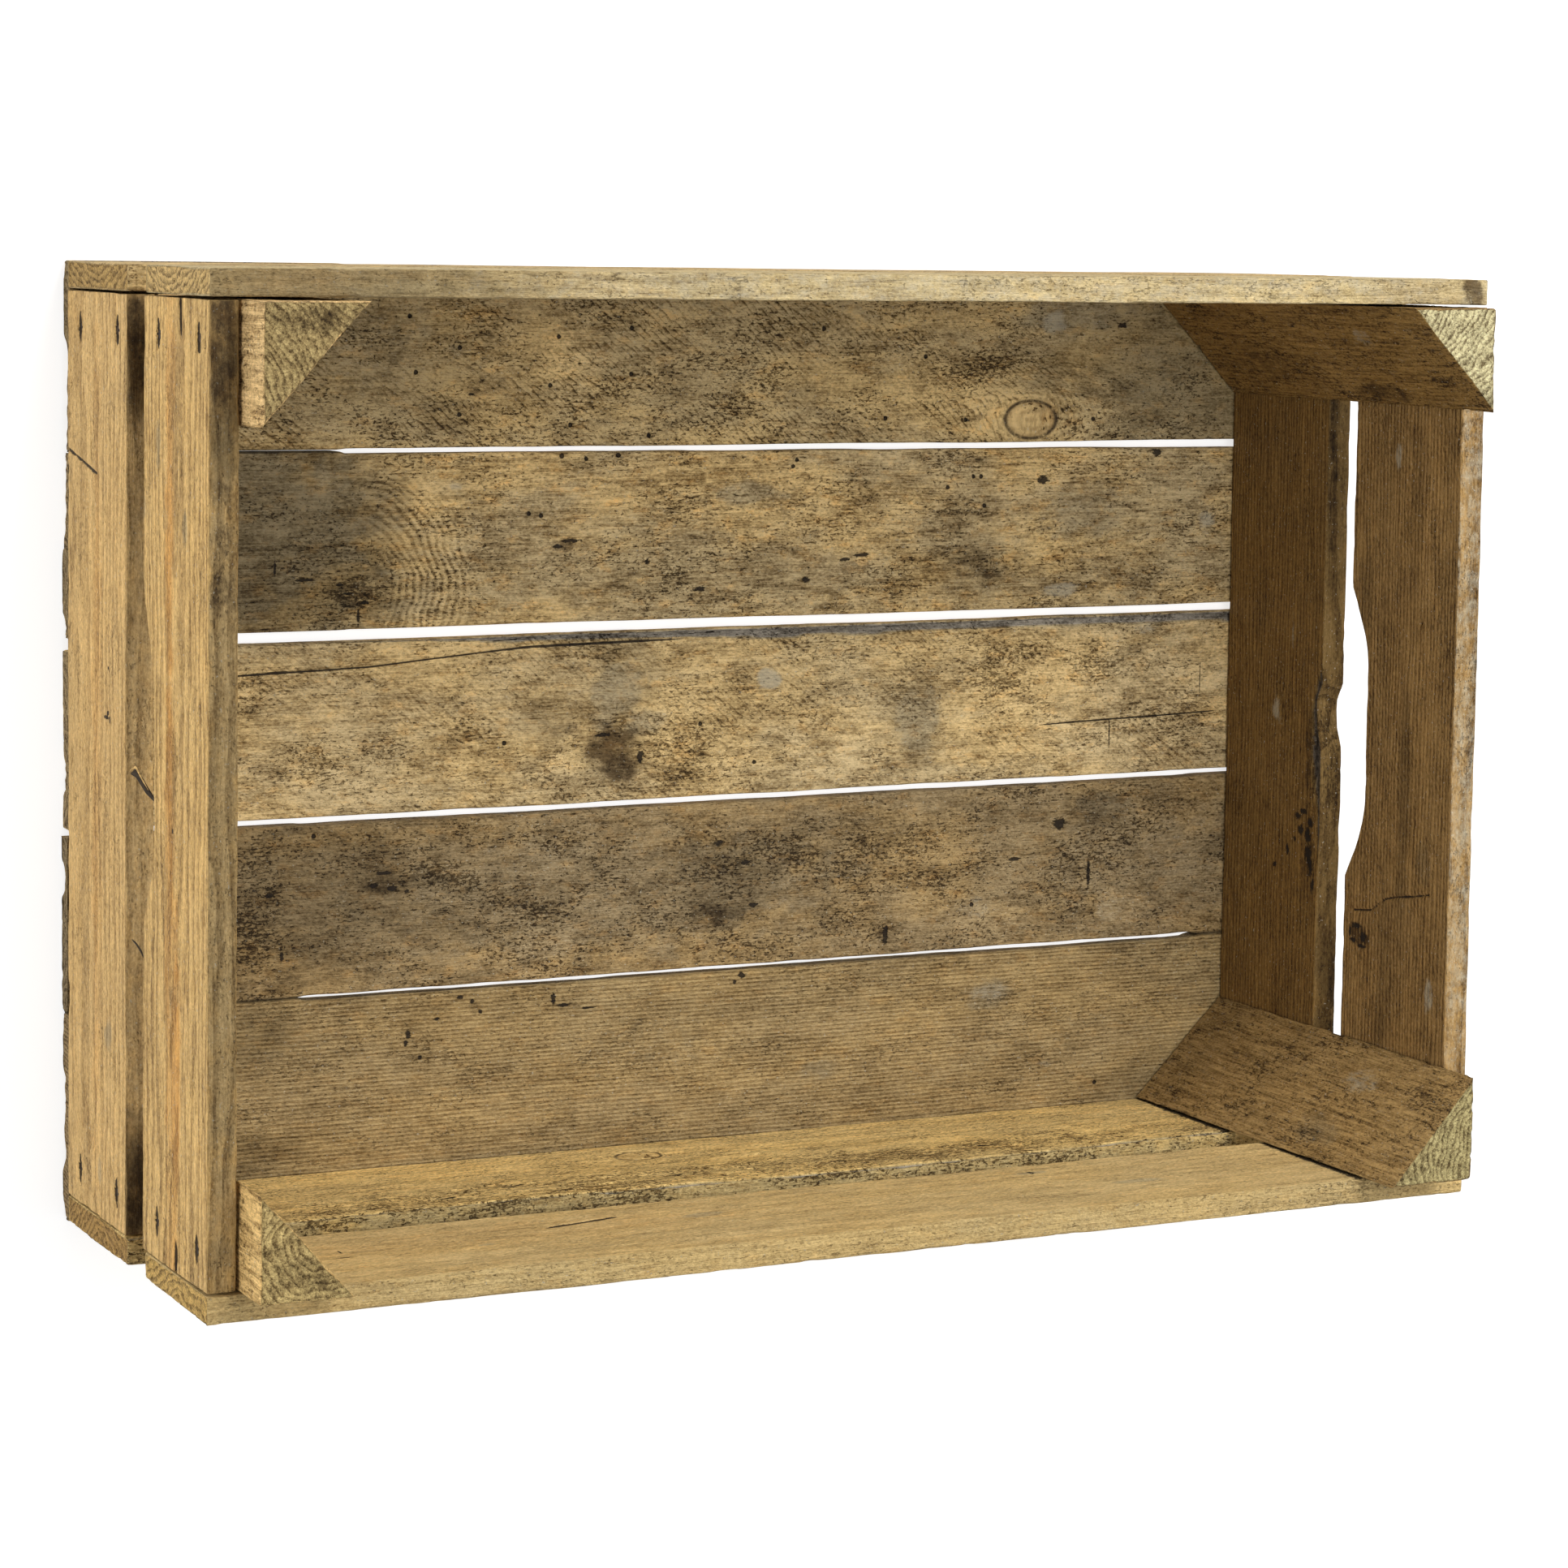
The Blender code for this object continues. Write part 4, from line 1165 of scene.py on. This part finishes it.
class Nodes:
    """Short ways to add nodes to one material."""

    def __init__(self, name):
        self.material = bpy.data.materials.new(name)
        self.material.use_nodes = True
        self.tree = self.material.node_tree
        self.shader = self.tree.nodes["Principled BSDF"]

    def add(self, kind, inputs=None, **settings):
        """A node with its inputs linked where they come from another node, and set where they are values."""
        node = self.tree.nodes.new(kind)
        for setting, value in settings.items():
            setattr(node, setting, value)
        for label, value in (inputs or {}).items():
            socket = node.inputs[label]
            if isinstance(value, bpy.types.NodeSocket):
                self.tree.links.new(value, socket)
            else:
                socket.default_value = value
        return node

    def maths(self, operation, *values, clamp=False):
        inputs = {place: value for place, value in enumerate(values)}
        return self.add("ShaderNodeMath", inputs, operation=operation, use_clamp=clamp).outputs[0]

    def plus(self, first, second, **settings):
        return self.maths("ADD", first, second, **settings)

    def minus(self, first, second):
        return self.maths("SUBTRACT", first, second)

    def times(self, first, second):
        return self.maths("MULTIPLY", first, second)

    def times_plus(self, first, second, third, **settings):
        return self.maths("MULTIPLY_ADD", first, second, third, **settings)

    def split(self, vector):
        """The three parts of a vector."""
        return self.add("ShaderNodeSeparateXYZ", {"Vector": vector}).outputs

    def tinted(self, colour, by):
        """The colour, multiplied part by part."""
        return self.mix(1.0, colour, by, "MULTIPLY")

    def attribute(self, name, output="Vector"):
        return self.add("ShaderNodeAttribute", attribute_name=name).outputs[output]

    def scaled(self, vector, scale, shift=(0.0, 0.0, 0.0)):
        """The vector, multiplied part by part and then shifted."""
        return self.add(
            "ShaderNodeMapping", {"Vector": vector, "Scale": scale, "Location": shift}).outputs[0]

    def noise(self, vector, size, shift=0.0, detail=3.0, roughness=0.5, distortion=0.0):
        """Noise whose lumps have the given size in mm along, across and through the grain."""
        scale = tuple(1.0 / (length * MM) for length in size)
        coordinates = self.scaled(vector, scale, (shift, shift * 1.7, shift * 0.6))
        return self.add("ShaderNodeTexNoise", {
            "Vector": coordinates, "Scale": 1.0, "Detail": detail, "Roughness": roughness,
            "Distortion": distortion}).outputs["Fac"]

    def step(self, value, low, high):
        """0 at low, 1 at high and a soft step between them."""
        return self.add("ShaderNodeMapRange", {
            "Value": value, "From Min": low, "From Max": high}, interpolation_type="SMOOTHSTEP").outputs[0]

    def mix(self, factor, first, second, blend="MIX"):
        node = self.add("ShaderNodeMix", data_type="RGBA", blend_type=blend)
        for socket, value in ((node.inputs[0], factor), (node.inputs[6], first), (node.inputs[7], second)):
            if isinstance(value, bpy.types.NodeSocket):
                self.tree.links.new(value, socket)
            elif socket == node.inputs[0]:
                socket.default_value = value
            else:
                socket.default_value = (*value, 1.0)
        return node.outputs[2]

    def ramp(self, value, stops):
        """The colour between the (place, colour) stops that the value picks."""
        node = self.add("ShaderNodeValToRGB", {"Fac": value})
        elements = node.color_ramp.elements
        while len(elements) < len(stops):
            elements.new(0.5)
        for element, (place, colour) in zip(elements, stops):
            element.position = place
            element.color = (*colour, 1.0)
        return node.outputs["Color"]


def tint(colour, red, green, blue):
    """The colour with each part multiplied."""
    return (colour[0] * red, colour[1] * green, colour[2] * blue)


def ring_lines(nodes, grain, pith, ring, wander):
    """Growth rings: 0 in the pale early wood and up to 1 in the thin dark late wood."""
    parts = nodes.split(grain)
    drift = nodes.noise(grain, (160, 28, 28), 5.0, 3.0, 0.55)
    small = nodes.noise(grain, (30, 5, 5), 9.0, 2.0)
    across = nodes.minus(parts[1], pith[0] * MM)
    through = nodes.minus(parts[2], pith[1] * MM)
    squares = nodes.plus(nodes.times(across, across), nodes.times(through, through))
    distance = nodes.maths("SQRT", squares)
    distance = nodes.times_plus(drift, wander * 0.030, distance)
    distance = nodes.times_plus(small, wander * 0.0035, distance)
    turns = nodes.maths("DIVIDE", distance, ring * MM)
    part = nodes.maths("FRACT", turns)
    rise = nodes.step(part, 0.25, 0.86)
    fall = nodes.step(part, 1.0, 0.90)
    return nodes.times(rise, fall)


def saw_lines(nodes, grain, angle, pitch, seed):
    """Slanting saw marks of uneven strength."""
    parts = nodes.split(grain)
    turn = math.radians(90 - angle)
    run = nodes.plus(nodes.times(parts[0], math.cos(turn)), nodes.times(parts[1], math.sin(turn)))
    wobble = nodes.noise(grain, (40, 40, 40), seed, 2.0)
    run = nodes.times_plus(wobble, 0.006, run)
    wave = nodes.maths("SINE", nodes.times(run, 2 * math.pi / (pitch * MM)))
    strength = nodes.step(nodes.noise(grain, (45, 30, 30), seed + 3.0, 3.0), 0.42, 0.62)
    return nodes.times(nodes.times_plus(wave, 0.5, 0.5), strength)


def torn_scales(nodes, grain, angle):
    """Rows of small torn scales that a coarse saw leaves: height, and painted shade at the lower lip of each
    scale.
    """
    parts = nodes.split(grain)
    lean = nodes.times_plus(parts[0], math.tan(math.radians(angle)), parts[1])
    wobble = nodes.noise(grain, (9, 9, 9), 31.0, 2.0)
    row = nodes.times_plus(wobble, 0.8, nodes.times(lean, 1 / (3.3 * MM)))
    column = nodes.times(parts[0], 1 / (3.8 * MM))
    place = nodes.add("ShaderNodeCombineXYZ", {"X": column, "Y": row, "Z": 0.0}).outputs[0]
    cell = nodes.add(
        "ShaderNodeTexVoronoi", {"Vector": place, "Scale": 1.0, "Randomness": 0.75}, voronoi_dimensions="2D")
    offset = nodes.add(
        "ShaderNodeVectorMath", {0: place, 1: cell.outputs["Position"]}, operation="SUBTRACT").outputs[0]
    climb = nodes.split(offset)[1]
    where = nodes.step(nodes.noise(grain, (60, 34, 34), 35.0, 4.0, 0.6), 0.38, 0.62)
    height = nodes.times(climb, where)
    # painted shade in the groove under each scale
    lip_shade = nodes.times(nodes.step(climb, 0.12, 0.50), where)
    return height, lip_shade


def dark_specks(nodes, grain, torn, amount):
    """Short dark pits between the fibres, in loose groups."""
    group = nodes.noise(grain, (34, 17, 17), 7.0, 4.0, 0.6)
    limit = nodes.times_plus(group, -0.42, 0.875 - 0.05 * amount)
    limit = nodes.times_plus(torn, -0.10, limit)
    long_pits = nodes.noise(grain, (3.2, 1.0, 1.0), 6.0, 3.0, 0.6)
    round_pits = nodes.noise(grain, (1.7, 1.4, 1.4), 16.0, 2.0, 0.6)
    pits = nodes.maths("MAXIMUM", long_pits, nodes.minus(round_pits, 0.02))
    return nodes.step(nodes.minus(pits, limit), -0.01, 0.06)


def nearest_of(nodes, place, ellipses):
    """Distance from the nearest of the ellipses: 0 in its middle and 1 on its outline."""
    nearest = nodes.plus(999.0, 0.0)
    for along, across, half_along, half_across in ellipses:
        scale = (1 / (half_along * MM), 1 / (half_across * MM), 0.0)
        offset = nodes.scaled(place, scale, (-along / half_along, -across / half_across, 0.0))
        distance = nodes.add("ShaderNodeVectorMath", {0: offset}, operation="LENGTH").outputs["Value"]
        nearest = nodes.maths("MINIMUM", nearest, distance)
    return nearest


def black_spots(nodes, name, grain):
    """1 in the listed worm holes and ragged spots, and 0 elsewhere."""
    place = nodes.attribute("place")
    holes = [(along, across, HOLE_RADIUS, HOLE_RADIUS) for along, across in WORM_HOLES.get(name, [])]
    ragged = nodes.noise(grain, (3.0, 1.5, 1.5), 71.0, 5.0, 0.8)
    spots = nodes.times_plus(ragged, 4.0, -2.0)
    spots = nodes.plus(spots, nearest_of(nodes, place, SPOTS.get(name, [])))
    nearest = nodes.maths("MINIMUM", spots, nearest_of(nodes, place, holes))
    seen = nodes.split(place)[2]
    return nodes.times(nodes.step(nearest, 1.15, 0.85), nodes.step(seen, 0.4, 0.6))


def burl_arcs(nodes, name, grain):
    """Thin arcs of pale wood around each burl."""
    burls = [(along, across, 1.0, 1.0) for along, across, _ in BURLS.get(name, [])]
    if not burls:
        return nodes.plus(0.5, 0.0)
    distance = nearest_of(nodes, nodes.attribute("place"), burls)
    drift = nodes.noise(grain, (40, 24, 24), 91.0, 2.0, 0.5)
    distance = nodes.times_plus(drift, 12.0, distance)
    part = nodes.maths("FRACT", nodes.maths("DIVIDE", distance, 3.3))
    return nodes.times(nodes.step(part, 0.15, 0.55), nodes.step(part, 1.0, 0.75))


def wood_brightness(nodes, patterns, arcs, rings, saw, tears, specks, fibres, blotch):
    """Adds the patterns up to one value from 0 in the darkest pits to 1 on the palest fibres."""
    value = nodes.times_plus(patterns["fibre"], 1.1 * fibres, 0.62 - 0.55 * fibres)
    for pattern, weight, middle in (
            ("fine_streak", 0.85 * fibres, 0.5), ("grit", 0.75 + 0.6 * specks, 0.5),
            ("streak", 0.40 * fibres, 0.5), ("cloud", 1.0 * blotch, 0.5), ("patch", 0.20 * blotch, 0.5),
            ("small_patch", 0.20 * blotch, 0.5), ("late_wood", -0.34 * rings, 0.3),
            ("saw_mark", -0.30 * saw, 0.3), ("lip_shade", -0.50 * tears, 0.15), ("speck", -0.60 * specks, 0.1)):
        value = nodes.plus(value, nodes.times(nodes.minus(patterns[pattern], middle), weight))
    arc_lines = nodes.times(arcs, nodes.minus(patterns["arc"], 0.35))
    value = nodes.times_plus(arc_lines, 0.34, value)
    return nodes.plus(value, 0.0, clamp=True)


def weathered(nodes, colour, grain, weather, grey, warm, streak):
    """Grey-brown and orange-tan patches, as old wood has."""
    ragged = nodes.noise(grain, (7, 4, 4), 8.0, 6.0, 0.72)
    patch = nodes.noise(grain, (85, 36, 36), 41.0, 7.0, 0.68)
    patchy = nodes.times(nodes.step(patch, 0.40, 0.60), weather)
    grey_place = nodes.plus(grey, nodes.times_plus(ragged, 1.3, -0.65))
    grey_place = nodes.maths("MAXIMUM", nodes.step(grey_place, 0.05, 0.95), patchy)
    grey_wood = nodes.tinted(colour, (0.72, 0.77, 0.88))
    orange_wood = nodes.tinted(colour, (1.05, 1.00, 0.88))
    colour = nodes.mix(nodes.times(grey_place, 0.85), orange_wood, grey_wood)
    orange = nodes.step(nodes.noise(grain, (13, 6, 6), 81.0, 6.0, 0.75), 0.52, 0.66)
    orange = nodes.times(orange, 0.8 * weather)
    colour = nodes.mix(orange, colour, nodes.tinted(colour, (1.22, 1.02, 0.76)))
    warm_wood = nodes.tinted(colour, (0.93, 0.72, 0.47))
    warm = nodes.times(warm, nodes.times_plus(nodes.step(streak, 0.38, 0.62), 0.55, 0.45))
    colour = nodes.mix(warm, colour, warm_wood)
    bark_grey = nodes.times(nodes.step(grey, 1.1, 1.8), 0.75)
    return nodes.add("ShaderNodeHueSaturation", {
        "Saturation": 0.35, "Fac": bark_grey, "Color": colour}).outputs["Color"]


def carried_values(nodes):
    """The values that the mesh carries at each point, by name."""
    tone = nodes.add("ShaderNodeSeparateColor", {"Color": nodes.attribute("tone", "Color")}).outputs
    figure = nodes.split(nodes.attribute("figure"))
    wear = nodes.split(nodes.attribute("wear"))
    rough_sawn = nodes.plus(nodes.maths("MINIMUM", wear[2], 0.0), 1.0, clamp=True)
    return {
        "grain": nodes.attribute("grain"),
        "stain": tone[0],
        "pale": tone[1],
        "grey": tone[2],
        "end": nodes.attribute("tone", "Alpha"),
        "knot": figure[0],
        "warm": figure[1],
        "torn": figure[2],
        "opening": wear[0],
        "shade": wear[1],
        "arcs": nodes.maths("MAXIMUM", wear[2], 0.0),
        "rough_sawn": nodes.times(rough_sawn, nodes.step(figure[0], 0.95, 1.3)),
    }


def wood_patterns(nodes, name, carried, pith, ring, wander, saw_angle, specks):
    """The patterns that the colour and the relief of the wood are made of, by name."""
    grain = carried["grain"]
    scale_height, lip_shade = torn_scales(nodes, grain, saw_angle)
    return {
        "fibre": nodes.noise(grain, (12, 0.6, 0.6), 1.0, 4.0, 0.65),
        "fine_streak": nodes.noise(grain, (22, 1.7, 1.7), 21.0, 3.0, 0.6),
        "streak": nodes.noise(grain, (120, 5, 5), 2.0, 4.0, 0.6),
        "cloud": nodes.noise(grain, (44, 24, 24), 3.0, 8.0, 0.75),
        "patch": nodes.step(nodes.noise(grain, (34, 17, 17), 51.0, 9.0, 0.80), 0.45, 0.55),
        "small_patch": nodes.step(nodes.noise(grain, (9, 4.5, 4.5), 61.0, 7.0, 0.78), 0.44, 0.56),
        "grit": nodes.noise(grain, (1.8, 1.1, 1.1), 4.0, 3.0, 0.7),
        "speck": dark_specks(nodes, grain, carried["torn"], specks),
        "late_wood": ring_lines(nodes, grain, pith, ring, wander),
        "arc": burl_arcs(nodes, name, grain),
        "saw_mark": saw_lines(nodes, grain, saw_angle, 2.9, 11.0),
        "scale_height": nodes.times(scale_height, carried["rough_sawn"]),
        "lip_shade": nodes.times(lip_shade, carried["rough_sawn"]),
        "ragged": nodes.noise(grain, (6, 3.5, 3.5), 9.0, 6.0, 0.75),
        "broken": nodes.noise(grain, (8, 6, 6), 13.0, 8.0, 0.78),
        "pores": nodes.noise(grain, (40, 0.9, 0.9), 14.0, 4.0, 0.75),
    }


def knotted(nodes, colour, knot, ragged, base):
    """Knots with rings inside and a dark outline."""
    rings = nodes.maths("SINE", nodes.times(knot, 16.0))
    shade = nodes.times(nodes.step(knot, 1.10, 0.92), nodes.times_plus(rings, 0.12, 0.22))
    line = nodes.times(nodes.step(knot, 0.86, 0.98), nodes.step(knot, 1.14, 1.02))
    line = nodes.times(line, nodes.step(ragged, 0.30, 0.55))
    colour = nodes.mix(shade, colour, tint(base, 0.42, 0.30, 0.20))
    return nodes.mix(nodes.times(line, 0.92), colour, (0.035, 0.022, 0.012))


def end_grain_colour(nodes, grain, patterns, fine_stain, end):
    """The sawn ends: crumbling pores and rings, stained in places."""
    crumbs = nodes.noise(grain, (40, 4, 4), 24.0, 4.0, 0.7)
    value = nodes.times_plus(patterns["pores"], 2.2, nodes.times_plus(patterns["late_wood"], -0.36, -1.33))
    value = nodes.times_plus(crumbs, 1.6, value)
    colour = nodes.ramp(value, [
        (0.0, tint(end, 0.22, 0.18, 0.14)),
        (0.5, tint(end, 0.95, 0.93, 0.90)),
        (1.0, tint(end, 1.50, 1.55, 1.60)),
    ])
    return nodes.mix(fine_stain, colour, nodes.tinted(colour, (0.26, 0.23, 0.20)))


def wood_surface(nodes, patterns, spots, end_grain, rings, saw, tears):
    """Roughness, and the relief that is too fine for the mesh."""
    rough = nodes.times_plus(patterns["cloud"], 0.18, 0.74, clamp=True)
    nodes.tree.links.new(rough, nodes.shader.inputs["Roughness"])
    nodes.shader.inputs["Specular IOR Level"].default_value = 0.22
    height = nodes.times_plus(patterns["fibre"], 0.9, nodes.times(patterns["grit"], 0.9))
    for pattern, weight in (
            (patterns["speck"], -0.9), (spots, -1.6), (patterns["scale_height"], 1.3 * tears),
            (patterns["saw_mark"], -0.5 * saw), (patterns["late_wood"], 0.35 * rings),
            (nodes.times(end_grain, patterns["pores"]), 1.6)):
        height = nodes.times_plus(pattern, weight, height)
    bump = nodes.add("ShaderNodeBump", {"Height": height, "Strength": 1.0, "Distance": 0.0009})
    nodes.tree.links.new(bump.outputs["Normal"], nodes.shader.inputs["Normal"])


def wood_material(
        name, base, pith, ring, rings, wander, saw, saw_angle, tears, specks, fibres, blotch, weather, end):
    """Old sawn wood, whose patterns and marks follow the values that the mesh carries."""
    nodes = Nodes(f"{name} wood")
    carried = carried_values(nodes)
    grain = carried["grain"]
    patterns = wood_patterns(nodes, name, carried, pith, ring, wander, saw_angle, specks)
    ragged = patterns["ragged"]
    broken = patterns["broken"]
    value = wood_brightness(nodes, patterns, carried["arcs"], rings, saw, tears, specks, fibres, blotch)
    colour = nodes.ramp(value, [
        (0.0, tint(base, 0.12, 0.10, 0.08)),
        (0.30, tint(base, 0.45, 0.40, 0.33)),
        (0.58, tint(base, 0.96, 0.95, 0.92)),
        (0.98, tint(base, 1.65, 1.70, 1.78)),
    ])
    colour = weathered(nodes, colour, grain, weather, carried["grey"], carried["warm"], patterns["streak"])

    # pale worn and chalky places, then knots
    fine_pale = nodes.step(nodes.plus(carried["pale"], nodes.times_plus(ragged, 1.8, -0.9)), 0.15, 0.9)
    colour = nodes.mix(nodes.times(fine_pale, 0.68), colour, (0.50, 0.45, 0.33))
    colour = knotted(nodes, colour, carried["knot"], ragged, base)

    # dark stains with a broken outline, and small pale flecks on top
    fine_stain = nodes.step(nodes.plus(carried["stain"], nodes.times_plus(broken, 2.4, -1.2)), 0.18, 0.95)
    stained = nodes.tinted(colour, (0.24, 0.21, 0.19))
    colour = nodes.mix(nodes.times(fine_stain, 0.95), colour, stained)
    fleck = nodes.step(nodes.noise(grain, (1.3, 1.1, 1.1), 19.0, 1.0), 0.70, 0.76)
    colour = nodes.mix(nodes.times(fleck, 0.55), colour, (0.50, 0.46, 0.36))
    end_colour = end_grain_colour(nodes, grain, patterns, fine_stain, end)
    colour = nodes.mix(carried["end"], colour, end_colour)

    # soft light and dark places, among them painted shade and painted light, then black cracks, holes and
    # spots
    brightness = nodes.maths("MAXIMUM", nodes.plus(carried["shade"], 1.0), 0.1)
    colour = nodes.add(
        "ShaderNodeVectorMath", {0: colour, "Scale": brightness}, operation="SCALE").outputs[0]
    spots = black_spots(nodes, name, grain)
    crack = nodes.times_plus(broken, 0.9, nodes.minus(carried["opening"], 0.45))
    black = nodes.maths("MAXIMUM", spots, nodes.step(crack, 0.30, 0.50))
    colour = nodes.mix(nodes.times(black, 0.93), colour, (0.014, 0.010, 0.008))
    nodes.tree.links.new(colour, nodes.shader.inputs["Base Color"])
    wood_surface(nodes, patterns, spots, carried["end"], rings, saw, tears)
    return nodes.material


def rust_material():
    """Dark iron with a rough crust of rust."""
    nodes = Nodes("rusty iron")
    place = nodes.add("ShaderNodeTexCoord").outputs["Object"]
    crust = nodes.noise(place, (1.6, 1.6, 1.6), 3.0, 5.0, 0.7)
    patches = nodes.noise(place, (9, 9, 9), 8.0, 2.0)
    colour = nodes.ramp(nodes.times_plus(patches, 0.5, nodes.times(crust, 0.5)), [
        (0.30, (0.010, 0.008, 0.007)),
        (0.50, (0.030, 0.019, 0.013)),
        (0.72, (0.085, 0.040, 0.018)),
    ])
    nodes.tree.links.new(colour, nodes.shader.inputs["Base Color"])
    nodes.tree.links.new(nodes.times_plus(crust, 0.4, 0.5), nodes.shader.inputs["Roughness"])
    nodes.shader.inputs["Metallic"].default_value = 0.35
    bump = nodes.add("ShaderNodeBump", {"Height": crust, "Strength": 0.8, "Distance": 0.0004})
    nodes.tree.links.new(bump.outputs["Normal"], nodes.shader.inputs["Normal"])
    return nodes.material


# ================================================================ floor, light and camera


def make_floor():
    """A plain pale floor that is bright enough to look white between the boards."""
    half = 6.0
    corners = [(-half, -half, 0.0), (half, -half, 0.0), (half, half, 0.0), (-half, half, 0.0)]
    mesh = bpy.data.meshes.new("studio_floor")
    mesh.from_pydata(corners, [], [(0, 1, 2, 3)])
    nodes = Nodes("studio floor")
    nodes.shader.inputs["Base Color"].default_value = (0.45, 0.45, 0.45, 1.0)
    nodes.shader.inputs["Roughness"].default_value = 0.9
    nodes.shader.inputs["Specular IOR Level"].default_value = 0.0
    nodes.shader.inputs["Emission Color"].default_value = (1.0, 1.0, 1.0, 1.0)
    nodes.shader.inputs["Emission Strength"].default_value = 0.72
    mesh.materials.append(nodes.material)
    floor = bpy.data.objects.new("studio_floor", mesh)
    bpy.context.scene.collection.objects.link(floor)


def make_softbox(name, place, target, size, power, colour=(1.0, 1.0, 1.0)):
    """A rectangular lamp that looks from its place at the target."""
    light = bpy.data.lights.new(name, "AREA")
    light.shape = "RECTANGLE"
    light.size, light.size_y = size
    light.energy = power
    light.color = colour
    lamp = bpy.data.objects.new(name, light)
    bpy.context.scene.collection.objects.link(lamp)
    lamp.location = place
    lamp.rotation_euler = (Vector(target) - Vector(place)).to_track_quat("-Z", "Y").to_euler()


def make_lights():
    """Soft studio light from behind, from the left and from above, in a pale room."""
    make_softbox("key softbox", (0.55, 1.75, 1.75), (0.0, 0.0, 0.05), (1.2, 0.9), 43.0, (1.0, 0.98, 0.95))
    make_softbox("left softbox", (-1.7, 0.1, 0.35), (-0.3, 0.0, 0.1), (0.8, 0.8), 11.5)
    make_softbox("top softbox", (-0.1, 0.1, 2.3), (0.0, 0.0, 0.0), (1.2, 1.0), 26.0)
    world = bpy.data.worlds.new("studio")
    world.use_nodes = True
    world.node_tree.nodes["Background"].inputs["Color"].default_value = (1.0, 1.0, 1.0, 1.0)
    world.node_tree.nodes["Background"].inputs["Strength"].default_value = 0.30
    bpy.context.scene.world = world
    bpy.context.scene.view_settings.view_transform = "Standard"
    bpy.context.scene.view_settings.look = "None"


# The camera's place in metres, and its turns in degrees around its own axes
CAMERA_PLACE = (-0.8129, 0.2244, 1.7456)
CAMERA_TURNS = ((-26.252, "Y"), (-4.919, "X"), (0.840, "Z"))


def make_camera():
    """A long lens that looks down into the crate past its left end."""
    data = bpy.data.cameras.new("camera")
    data.sensor_width = 36.0
    data.lens = 95.73
    data.shift_y = -0.1222
    data.clip_start = 0.05
    camera = bpy.data.objects.new("camera", data)
    bpy.context.scene.collection.objects.link(camera)
    turn = Matrix.Identity(4)
    for angle, axis in CAMERA_TURNS:
        turn = turn @ Matrix.Rotation(math.radians(angle), 4, axis)
    camera.matrix_world = Matrix.Translation(CAMERA_PLACE) @ turn
    bpy.context.scene.camera = camera


# ================================================================ the crate

for leftover in list(bpy.data.objects):
    bpy.data.objects.remove(leftover, do_unlink=True)
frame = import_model()

for board_number, board_name in enumerate(BOARDS):
    make_board(board_name, 1000 * (board_number + 1))
for post_number, post_name in enumerate(POSTS):
    make_post(post_name, 50000 + 1000 * post_number)
make_nails(rust_material())
make_splinters()
make_floor()
make_lights()
make_camera()
